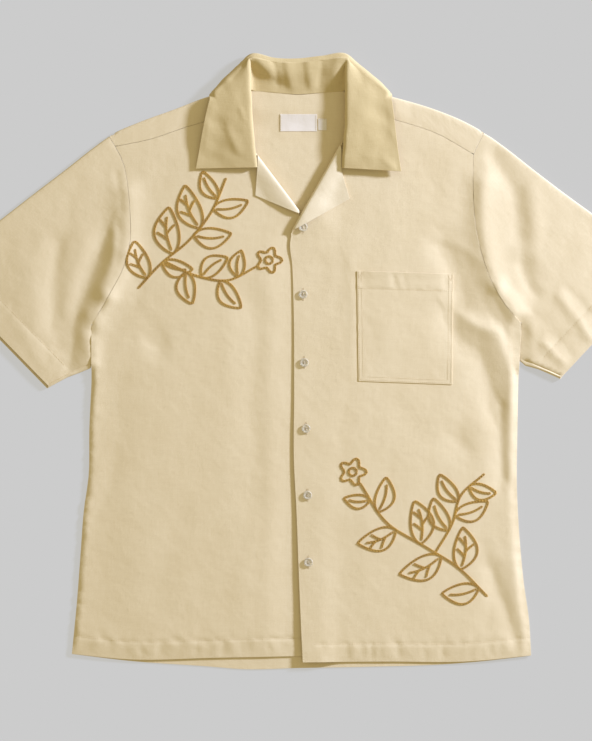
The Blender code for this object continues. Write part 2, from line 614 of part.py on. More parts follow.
def sleeve(side, finish):
    """A sleeve as a flattened tube, open at the armhole and at the hem."""
    sign = SIDES[side]
    inset = EDGE_ROLL + CLOTH / 2
    armhole = moved_aside(ARMHOLE_LINE[side], SEAM_HALF * sign)
    hem = np.array(SLEEVE_HEM[side], float)
    along_shoulder = SHOULDER_CURVE[:: 2 * sign]
    beyond = along_shoulder[:, 0] * sign > abs(armhole[0, 0]) + TIP_CLEAR
    short = along_shoulder[:, 0] * sign < abs(hem[0, 0]) - TIP_CLEAR
    shoulder = np.vstack([armhole[:1], along_shoulder[beyond & short], hem[:1]])
    shoulder = moved_aside(shoulder, -inset * sign)
    under = moved_aside(curve(UNDERARM[side], EDGE_STEP), inset * sign)
    hem_line = curve([tuple(under[-1]), tuple(shoulder[-1])], EDGE_STEP)
    outline = joined(armhole[1:-1], under, hem_line[1:-1], shoulder[::-1])
    turns = [under, shoulder[::-1]]
    if side == "right":
        outline, turns = outline[::-1], [line[::-1] for line in turns]
    out = np.array([hem[0, 1] - hem[1, 1], hem[1, 0] - hem[0, 0]])
    out /= np.linalg.norm(out) * sign

    def place(flat, level):
        """Places of plan points at a level between the lower layer, 0, and the upper one, 1."""
        low, high = lower_height(*flat.T), upper_height(*flat.T, SLEEVE_FOLDS)
        near_hem = smooth(1 - distance_to(flat, hem_line) / HEM_SHIFT_FADE)[:, None]
        plan = flat + (1 - level) * LOWER_HEM_SHOWS[side] * near_hem * out
        return np.column_stack([plan, low + (high - low) * level])

    fine = [fold for fold in SHARED_FOLDS + SLEEVE_FOLDS if fold.x0 * sign > 0]
    panel = Panel(outline, FRONT_STEP, lambda flat: place(flat, 1.0), fine=fine)
    count = len(panel.flat)
    points = [place(panel.flat, 1.0), place(panel.flat, 0.0)]
    faces = [*panel.faces, *(panel.faces[:, ::-1] + count)]
    total = 2 * count
    for line in turns:
        columns = np.array([int(np.argmin(np.linalg.norm(panel.flat - p, axis=1))) for p in line])
        run = np.gradient(line, axis=0)
        outward = np.stack([run[:, 1], -run[:, 0]], axis=1) / np.linalg.norm(run, axis=1)[:, None]
        chains = [columns]
        for angle in TURN_ANGLES:
            arc = place(line, (1 + math.cos(angle)) / 2)
            arc[:, :2] += outward * EDGE_ROLL * math.sin(angle)
            points.append(arc)
            chains.append(np.arange(total, total + len(line)))
            total += len(line)
        chains.append(columns + count)
        for upper, lower in zip(chains[:-1], chains[1:]):
            for i in range(len(line) - 1):
                faces += [(upper[i + 1], upper[i], lower[i]), (upper[i + 1], lower[i], lower[i + 1])]
    points, faces = np.concatenate(points), np.array(faces)
    normals = point_normals(points, faces)
    return wall(f"sleeve_{side}", points, normals, faces, -CLOTH / 2, CLOTH / 2, finish)


def collar_section(row, side_way):
    """Points of the collar's middle surface from the neck seam, over the roll, to the outer edge."""
    neck = np.array([row.neck_x, row.neck_y, row.neck_z])
    crest = np.array([row.crest_x, row.crest_y, row.crest_z])
    edge = np.array([row.edge_x, row.edge_y])
    stand = np.array([row.stand_x, row.stand_y])
    pull = (stand - (neck[:2] + crest[:2]) / 8) / 0.75
    first = np.array([*pull, neck[2] + 0.12 * (crest[2] - neck[2])])
    second = np.array([*pull, crest[2]])
    points = []
    for t in np.linspace(0.0, 1.0, STAND_STEPS + 1):
        weights = ((1 - t) ** 3, 3 * t * (1 - t) ** 2, 3 * t * t * (1 - t), t**3)
        points.append(sum(w * p for w, p in zip(weights, (neck, first, second, crest))))
    ahead = edge - crest[:2]
    ahead /= np.linalg.norm(ahead)
    turned = row.turn / 180.0
    out = (1 - turned) * ahead + turned * side_way
    out /= np.linalg.norm(out)
    aside = np.array([out[1], -out[0]])
    aside *= 1.0 if aside @ ahead >= 0 else -1.0
    radius = (row.edge_z - COLLAR_REST) / 2
    lead = (1 - turned) * row.behind + turned * (radius + COLLAR_CLOTH / 2) / (ahead @ out)
    start = edge - ahead * lead
    for t in np.linspace(0.0, 1.0, LEAF_STEPS + 1)[1:]:
        plan = crest[:2] + (start - crest[:2]) * t
        points.append(np.array([*plan, crest[2] + (row.edge_z - crest[2]) * smooth(t)]))
    angle = math.radians(row.turn)
    length = radius * angle / (ahead @ out) + row.behind
    for t in np.linspace(0.0, 1.0, FALL_STEPS + 1)[1:]:
        gone = t * length
        over = gone * (ahead @ out)
        arc = min(over, radius * angle)
        turn = arc / radius
        reach = radius * math.sin(turn) + (over - arc) * math.cos(angle)
        drop = radius * (1 - math.cos(turn)) + (over - arc) * math.sin(angle)
        plan = start + aside * gone * (ahead @ aside) + out * reach
        points.append(np.array([*plan, max(row.edge_z - drop, COLLAR_REST)]))
    return points


def collar(finish):
    """The camp collar as one wall through its stations."""
    table = np.array(COLLAR, float)
    along = chord_lengths(table[:, EDGE_PLAN])
    rows = on_spline(table, along, np.linspace(0.0, along[-1], COLLAR_STATIONS))
    knots = np.linspace(0.0, along[-1], COLLAR_STATIONS)
    for name in EVENED:
        column = Station._fields.index(name)
        rows[:, column] = np.interp(knots, along, table[:, column])
    run = np.gradient(rows[:, EDGE_PLAN], axis=0)
    run /= np.linalg.norm(run, axis=1)[:, None]
    ways = np.stack([-run[:, 1], run[:, 0]], axis=1)
    rings = np.array([collar_section(Station(*row), way) for row, way in zip(rows, ways)])
    count = rings.shape[1]
    points = rings.reshape(-1, 3)
    faces = []
    for ring in range(len(rings) - 1):
        for i in range(count - 1):
            a = ring * count + i
            faces += [(a, a + 1, a + 1 + count), (a, a + 1 + count, a + count)]
    faces = np.array(faces)
    normals = point_normals(points, faces)
    half = COLLAR_CLOTH / 2
    return wall("collar", points, normals, faces, -half, half, finish)


def turned(name, foot, profile, sides, finish):
    """A closed solid turned about an upright axis. Its profile is rows of radius and height."""
    x, y, z = foot
    points, faces = [(x, y, z + profile[0][1])], []
    for radius, height in profile[1:-1]:
        for i in range(sides):
            a = 2 * math.pi * i / sides
            points.append((x + radius * math.cos(a), y + radius * math.sin(a), z + height))
    points.append((x, y, z + profile[-1][1]))
    rings = len(profile) - 2
    for i in range(sides):
        j = (i + 1) % sides
        faces.append((0, 1 + j, 1 + i))
        for ring in range(rings - 1):
            low, high = 1 + ring * sides, 1 + (ring + 1) * sides
            faces.append((low + i, low + j, high + j, high + i))
        last = 1 + (rings - 1) * sides
        faces.append((last + i, last + j, len(points) - 1))
    return mesh_object(name, points, faces, finish)


def button(number, place, finish):
    """A shirt button with a raised rim and four holes."""
    x, y = place
    centre = np.array([[x, y]])
    reach = np.array([[x + BUTTON_RADIUS * math.cos(a), y + BUTTON_RADIUS * math.sin(a)]
                      for a in np.linspace(0.0, 2 * math.pi, BUTTON_SIDES, endpoint=False)])
    around = np.vstack([centre, reach])
    seat = left_front_height(*around.T).max() + CLOTH / 2 + BUTTON_SEAT
    profile = [
        (0.0, 0.0), (4.3, 0.0), (BUTTON_RADIUS - 0.3, 0.5), (BUTTON_RADIUS, 1.2),
        (BUTTON_RADIUS - 0.5, BUTTON_THICK), (BUTTON_RADIUS - 1.5, BUTTON_THICK - 0.1), (3.4, 1.5), (0.0, 1.5),
    ]
    disc = turned(f"button_{number}", (x, y, seat), profile, BUTTON_SIDES, finish)
    for quarter in range(4):
        angle = math.pi / 4 + quarter * math.pi / 2
        hole_x, hole_y = x + HOLE_FROM_AXIS * math.cos(angle), y + HOLE_FROM_AXIS * math.sin(angle)
        top = BUTTON_THICK + 1.0
        through = [(0.0, -1.0), (HOLE_RADIUS, -1.0), (HOLE_RADIUS, top), (0.0, top)]
        bore = turned(f"bore_{number}_{quarter}", (hole_x, hole_y, seat), through, HOLE_SIDES, finish)
        bore.hide_render = True
        cut = disc.modifiers.new(bore.name, "BOOLEAN")
        cut.operation, cut.solver, cut.object = "DIFFERENCE", "EXACT", bore


# Lines that several pieces share, sampled once so that their seams match
SHOULDER_CURVE = curve(SHOULDER_LINE, 6.0)
ARMHOLE_LINE = {side: curve(ARMHOLE[side], EDGE_STEP) for side in SIDES}
SIDE_LINE = {side: curve(SIDE_SEAM[side], EDGE_STEP) for side in SIDES}
HEM_LINE = {side: curve(FRONT_HEM[side], EDGE_STEP) for side in SIDES}


def build():
    """Make every piece of the shirt."""
    for thing in list(bpy.data.objects):
        bpy.data.objects.remove(thing, do_unlink=True)
    cream = material("cream cloth", (228, 212, 180), 0.85, 0.2)
    facing_cream = material("cream facing", (231, 217, 188), 0.8, 0.2)
    straw = material("straw collar cloth", (201, 181, 137), 0.85, 0.2)
    woven = material("white woven label", (232, 224, 216), 0.7)
    pearl = material("clear pearl button", (226, 220, 206), 0.25)

    back = back_panel()
    back.solid("back", cream)
    for name, corners in (("neck_label", NECK_LABEL), ("size_label", SIZE_LABEL)):
        area = patch_line(corners)
        back.solid(name, woven, PLY - CLOTH / 2, PLY + CLOTH / 2, lambda at: is_inside(at, area))

    for side in SIDES:
        front = front_panel(side)
        front.solid(f"front_{side}", cream)
        front.solid(f"facing_{side}", facing_cream, -PLY - CLOTH / 2, -PLY + CLOTH / 2,
                    lambda at: (past_roll(at, side) > -FACING_INSIDE) & (at[:, 1] > FACING_FOOT[side]))
        if side == "left":
            area = patch_line(POCKET)
            front.solid("pocket", cream, PLY - CLOTH / 2, PLY + CLOTH / 2, lambda at: is_inside(at, area))
        sleeve(side, cream)
    collar(straw)
    for number, place in enumerate(BUTTONS, start=1):
        button(number, place, pearl)


build()
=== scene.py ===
"""Looks of a short-sleeved camp shirt that lies flat, face up.

Lengths are in millimetres until a mesh is made. +X is the wearer's left, +Y runs from hem to neck and +Z
rises from the ground. Each piece of cloth is a thin shell on the form of its solid, with finer creases,
seams and sewing.
"""

from __future__ import annotations

import logging
import math
from dataclasses import dataclass, field
from enum import Enum
from functools import partial
from typing import Callable, NamedTuple, Sequence

import bpy
import numpy as np
from mathutils import Matrix, Vector
from mathutils.geometry import delaunay_2d_cdt


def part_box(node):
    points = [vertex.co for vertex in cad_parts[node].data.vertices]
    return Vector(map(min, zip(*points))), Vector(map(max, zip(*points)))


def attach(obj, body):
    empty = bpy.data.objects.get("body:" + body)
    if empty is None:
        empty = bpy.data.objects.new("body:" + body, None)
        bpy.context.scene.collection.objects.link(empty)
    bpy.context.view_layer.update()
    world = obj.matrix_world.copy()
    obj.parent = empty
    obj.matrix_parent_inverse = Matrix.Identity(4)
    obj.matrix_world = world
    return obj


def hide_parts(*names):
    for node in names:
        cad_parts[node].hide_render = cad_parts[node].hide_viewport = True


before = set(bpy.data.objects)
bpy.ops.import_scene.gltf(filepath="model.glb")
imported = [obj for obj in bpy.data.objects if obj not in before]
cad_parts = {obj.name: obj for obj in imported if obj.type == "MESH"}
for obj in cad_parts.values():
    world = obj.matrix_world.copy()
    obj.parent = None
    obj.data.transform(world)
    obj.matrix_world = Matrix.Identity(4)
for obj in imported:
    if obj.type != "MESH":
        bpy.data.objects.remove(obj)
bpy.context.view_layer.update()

log = logging.getLogger("camp_shirt")
# Metres in a millimetre
MM = 0.001
# Rows of points at and beside a hem's line of sewing, across it
BESIDE_HEM = (-1.7, 0.0, 1.7)
# How far a cut edge's corners are drawn in, as a share of the cloth's thickness
EDGE_INSET = 0.18
# Edges of cloth that turn by more degrees than this are shaded sharp
SHARP_FROM = 38.0
Array = np.ndarray
Points = Sequence[tuple[float, float]]
Span = tuple[float, float]
Finish = bpy.types.Material
Thing = bpy.types.Object
Socket = bpy.types.NodeSocket


class Side(Enum):
    """The wearer's right or left, with the sign of its X."""

    RIGHT = -1
    LEFT = 1

    @property
    def word(self) -> str:
        """The side's name, as in the nodes' names."""
        return self.name.lower()


class Pair(NamedTuple):
    """One thing for each side of the shirt."""

    right: object
    left: object

    def of(self, side: Side) -> object:
        """The one for a side."""
        return self.left if side is Side.LEFT else self.right


def smooth(t: Array) -> Array:
    """Ease from 0 to 1 as t goes from 0 to 1."""
    t = np.clip(t, 0.0, 1.0)
    return t * t * (3.0 - 2.0 * t)


def between(value: Array, start: float, end: float) -> Array:
    """Ease from 0 where the value is at start to 1 where it is at end."""
    return smooth((value - start) / (end - start))


def unit(vectors: Array) -> Array:
    """A vector, or each row of them, made 1 long."""
    return vectors / np.maximum(np.linalg.norm(vectors, axis=-1, keepdims=True), 1e-12)


def left_of(ways: Array) -> Array:
    """Level directions turned a quarter to the left."""
    return np.stack([-ways[..., 1], ways[..., 0]], axis=-1)


def closed(line: Array) -> Array:
    """A line with its first point once more at its end."""
    return np.vstack([line, line[:1]])


def on_circle(radius: float, count: int) -> Array:
    """Points evenly round a circle about the origin."""
    angles = np.arange(count) / count * math.tau
    return radius * np.stack([np.cos(angles), np.sin(angles)], axis=1)


def chord_lengths(points: Array) -> Array:
    """Distance of each point along the line through them all."""
    steps = np.linalg.norm(np.diff(points, axis=0), axis=1)
    return np.concatenate([[0.0], np.cumsum(steps)])


def on_spline(values: Array, along: Array, at: Array) -> Array:
    """Rows of values on a cubic spline.

    Args:
        values: The rows that the spline goes through.
        along: The distance of each row.
        at: The distances that are asked for.

    Returns:
        One row for each distance asked for.
    """
    slopes = np.gradient(values, along, axis=0)
    i = np.clip(np.searchsorted(along, at, side="right") - 1, 0, len(along) - 2)
    width = (along[i + 1] - along[i])[:, None]
    t = (at - along[i])[:, None] / width
    return (
        (2 * t**3 - 3 * t**2 + 1) * values[i]
        + (t**3 - 2 * t**2 + t) * width * slopes[i]
        + (3 * t**2 - 2 * t**3) * values[i + 1]
        + (t**3 - t**2) * width * slopes[i + 1]
    )


def curve(knots: Sequence, step: float) -> Array:
    """Points on a smooth curve.

    Args:
        knots: The points that the curve goes through.
        step: The distance from one point to the next, about.

    Returns:
        The points, ends included.
    """
    knots = np.asarray(knots, float)
    along = chord_lengths(knots)
    count = max(1, round(along[-1] / step))
    return on_spline(knots, along, np.linspace(0.0, along[-1], count + 1))


def moved_aside(line: Array, distance: float) -> Array:
    """A line moved to its left by a distance, in the plane."""
    return line + distance * left_of(unit(np.gradient(line, axis=0)))


def nearest_on(points: Array, line: Array) -> tuple[Array, Array]:
    """Where points lie beside a line of straight pieces.

    Args:
        points: Points in the plane.
        line: The line's corners.

    Returns:
        Each point's distance, and its side, 1 on the left and -1 on the right.
    """
    best = np.full(len(points), np.inf)
    way = np.ones(len(points))
    for i in range(len(line) - 1):
        run = line[i + 1] - line[i]
        square = max(run @ run, 1e-12)
        off = points - line[i]
        t = np.clip(off @ run / square, 0.0, 1.0)
        away = np.linalg.norm(off - t[:, None] * run, axis=1)
        closer = away < best
        best = np.where(closer, away, best)
        way = np.where(closer, np.sign(run[0] * off[:, 1] - run[1] * off[:, 0]), way)
    return best, way


def distance_to(points: Array, line: Array) -> Array:
    """Distance in the plane from each point to a line of straight pieces."""
    return nearest_on(points, line)[0]


def is_inside(points: Array, outline: Array) -> Array:
    """Whether each point lies inside a closed outline.

    Args:
        points: The points.
        outline: The corners of a closed outline.

    Returns:
        True for each point inside.
    """
    x, y = points[:, 0], points[:, 1]
    inside = np.zeros(len(points), bool)
    for (ax, ay), (bx, by) in zip(outline, np.roll(outline, -1, axis=0)):
        if ay != by:
            inside ^= ((ay > y) != (by > y)) & (x < (bx - ax) * (y - ay) / (by - ay) + ax)
    return inside


def joined(*lines: Array) -> Array:
    """Lines end to end as one closed outline, with each shared corner once."""
    points = np.concatenate([np.asarray(line, float) for line in lines])
    step = np.linalg.norm(points - np.roll(points, 1, axis=0), axis=1)
    return points[step > 0.05]


def noise(x: Array, y: Array, size: float, seed: int) -> Array:
    """Soft unevenness.

    Args:
        x: Positions along one axis.
        y: Positions along the other.
        size: The width of a swell.
        seed: Which of many patterns.

    Returns:
        Heights of about -1 to 1, the same each run.
    """
    rng = np.random.default_rng(seed)
    total = np.zeros(np.broadcast(x, y).shape)
    waves = 9
    for _ in range(waves):
        angle, phase, stretch = rng.uniform(0, math.tau), rng.uniform(0, math.tau), rng.uniform(0.7, 1.5)
        total += np.sin(math.tau * (x * math.cos(angle) + y * math.sin(angle)) / (size * stretch) + phase)
    return total / math.sqrt(waves)


class Swell(NamedTuple):
    """Soft unevenness of a height and a width, in the pattern of a seed."""

    height: float
    size: float
    seed: int

    def heights(self, x: Array, y: Array) -> Array:
        """Height that it adds at each place."""
        return self.height * noise(x, y, self.size, self.seed)


class Crease(NamedTuple):
    """A ridge along a line, or a trough where the height is negative: soft, or with a crisp middle."""

    path: Points
    width: float
    height: float
    lean: float = 1.0
    crisp: float = 0.0

    def heights(self, points: Array) -> Array:
        """Height that the crease adds at each point. Its left side is lean times as wide as its right.

        Args:
            points: Places on the cloth.

        Returns:
            The height at each place.
        """
        line = np.asarray(self.path, float)
        if len(line) > 2:
            line = curve(line, max(4.0, self.width / 2))
        reach = 2.6 * self.width * max(self.lean, 1.0)
        low, high = line.min(axis=0) - reach, line.max(axis=0) + reach
        near = np.all((points > low) & (points < high), axis=1)
        total = np.zeros(len(points))
        if near.any():
            away, way = nearest_on(points[near], line)
            width = np.where(way > 0, self.width * self.lean, self.width)
            soft, sharp = np.exp(-((away / width) ** 2)), np.maximum(1 - away / (2.2 * width), 0.0) ** 2
            total[near] = self.height * (soft + (sharp - soft) * self.crisp)
        return total


def creases(*rows: tuple) -> tuple[Crease, ...]:
    """A table of creases, each given by its path, width, height, lean and crispness."""
    return tuple(Crease(*row) for row in rows)


def creased(points: Array, table: Sequence[Crease]) -> Array:
    """Height that a table of creases adds at each point.

    Args:
        points: Places on the cloth.
        table: The creases.

    Returns:
        The height at each place.
    """
    total = np.zeros(len(points))
    for crease in table:
        total += crease.heights(points)
    return total


@dataclass(frozen=True)
class Pattern:
    """Seam lines and edges of the shirt, as seen from above."""

    shoulder_line: Points = (
        (-466.6, 116.5), (-379.5, 181.8), (-340, 212.5), (-300, 243), (-260.5, 273.9), (-238.7, 289.3),
        (-204.2, 304.6), (-161.9, 320), (-118, 336.5), (-88, 344.5), (-60, 347.5), (60, 347), (88, 344),
        (119, 336.5), (174.7, 320), (211.8, 304.6), (238.7, 289.3), (260.5, 273.9), (300, 243), (340, 212.5),
        (374.4, 187.5), (466.6, 120.3),
    )
    armholes: Pair = Pair(
        ((-243.5, 286.2), (-239.5, 278.5), (-232.5, 268.3), (-224.6, 249.6), (-219.5, 222),
         (-217, 193.8), (-217.7, 143.4), (-225.5, 117), (-238, 92.7), (-265.6, 44.8)),
        ((236, 290.4), (231.6, 281.6), (224.6, 269.6), (222, 240.6), (222.5, 208.9),
         (224.3, 178.6), (233.1, 135.7), (247, 97.5), (263, 70.4), (283.5, 47.4)),
    )
    shoulder_seams: Pair = Pair(
        ((-191.4, 282.2), (-140, 299.5), (-121.6, 304.6), (-70.5, 321)),
        ((175, 290), (122.2, 307.2), (70, 321)),
    )
    side_seams: Pair = Pair(
        ((-265.6, 44.8), (-265.7, -18), (-268.9, -90), (-269.9, -150), (-275.6, -190), (-280.2, -250),
         (-284.8, -310), (-291.2, -376)),
        ((283.5, 47.4), (281.2, 12), (280.2, -18), (279, -80), (278.4, -170), (281.4, -225), (287, -285),
         (294, -335), (296.3, -378)),
    )
    back_neck: Points = ((58, 344.1), (28, 341.9), (-2, 339.5), (-32, 342.5), (-62, 345.4))
    rolled_necks: Pair = Pair(
        ((-70.5, 321), (-68, 330), (-65.2, 338), (-63.4, 343.4)),
        ((70, 321), (66.6, 330), (63, 338), (60.8, 343.2)),
    )
    back_hem: Points = (
        (-291.2, -376.3), (-218, -385), (-115, -392.3), (-76, -395.5), (0, -394.2), (85, -392.6),
        (178.6, -389.8), (220.8, -386.8), (296.3, -378.5),
    )
    front_hems: Pair = Pair(
        ((18, -378.5), (-108, -381), (-218, -383), (-291.2, -376)),
        ((4.1, -386.6), (107, -385.8), (220.8, -385.3), (296.3, -378)),
    )
    front_edges: Pair = Pair(
        ((-1.2, 187.4), (10.5, 169), (17, 150), (18, 100), (18, -378.5)),
        ((-11, 157.8), (-12.2, 150), (-9.6, 122.9), (-7.8, 74.2), (-7, -39.7), (-7.2, -130.6),
         (-4.1, -191.6), (-1, -273.3), (2, -344.7), (4.1, -386.6)),
    )
    lapel_edges: Pair = Pair(((-40, 258.7), (-2.8, 250.9)), ((22.1, 259.9), (-14.2, 250.6)))
    lapel_feet: Pair = Pair((4.2, 191.5), (-11, 157.8))
    front_necks: Pair = Pair(
        ((-70.5, 321), (-67.5, 302), (-64.5, 286), (-61, 272), (-57, 264), (-52.5, 262.3), (-45.8, 260.3),
         (-40, 258.7)),
        ((70, 321), (65.8, 301), (61.5, 288), (56.8, 279.5), (52.6, 277.2), (46.1, 274.4), (39.3, 270.3),
         (22.1, 259.9)),
    )
    lapel_rolls: Pair = Pair((-1.1, 187.5, -56.5, 261.0), (5.1, 186.4, 56.6, 277.8))
    sleeve_hems: Pair = Pair(((-466.6, 116.5), (-320.6, -34.6)), ((466.6, 120.3), (333.4, -23)))
    underarms: Pair = Pair(
        ((-266.1, 44.8), (-266.4, 15), (-266.6, -8.0), (-294, -20.5), (-320.6, -34.6)),
        ((284.6, 47.4), (283.0, 20), (281.8, -1.8), (308, -12.8), (333.4, -24)),
    )
    lower_hem_shows: Pair = Pair(3.5, 1.0)
    shoulder_step: float = 6.0
    back_hem_step: float = 8.0
    neck_step: float = 7.5
    edge_step: float = 15.0
    seam_half: float = 0.12
    seam_corner: int = 2

    def shoulder(self) -> Array:
        """The shoulder line from cuff to cuff."""
        return curve(self.shoulder_line, self.shoulder_step)

    def armhole(self, side: Side) -> Array:
        """The armhole seam from the shoulder to the underarm."""
        return curve(self.armholes.of(side), self.edge_step)

    def armhole_split(self, side: Side) -> tuple[Array, Array]:
        """The armhole above the shoulder seam's end, and below it.

        Args:
            side: Whose armhole.

        Returns:
            The upper part and the lower one.
        """
        line = self.armhole(side)
        corner = np.array(self.armholes.of(side)[self.seam_corner])
        at = int(np.argmin(np.linalg.norm(line - corner, axis=1)))
        return line[: at + 1], line[at:]

    def shoulder_seam(self, side: Side) -> Array:
        """Forward shoulder seam from the armhole to the neck."""
        top, _ = self.armhole_split(side)
        return curve([tuple(top[-1]), *self.shoulder_seams.of(side)], self.edge_step)

    def side_seam(self, side: Side) -> Array:
        """Side seam from the underarm to the hem."""
        return curve(self.side_seams.of(side), self.edge_step)

    def front_hem(self, side: Side) -> Array:
        """Hem of a front, from its front edge to the side seam."""
        return curve(self.front_hems.of(side), self.edge_step)


def finer(line: Array, step: float) -> Array:
    """A line of straight pieces with more points on it, so that its shape stays the same.

    Args:
        line: The line.
        step: About how far apart its points are to be.

    Returns:
        The line with more points.
    """
    parts = []
    for a, b in zip(line[:-1], line[1:]):
        count = max(1, round(float(np.linalg.norm(b - a)) / step))
        parts.append(a + (b - a) * (np.arange(count) / count)[:, None])
    return np.concatenate([*parts, line[-1:]])


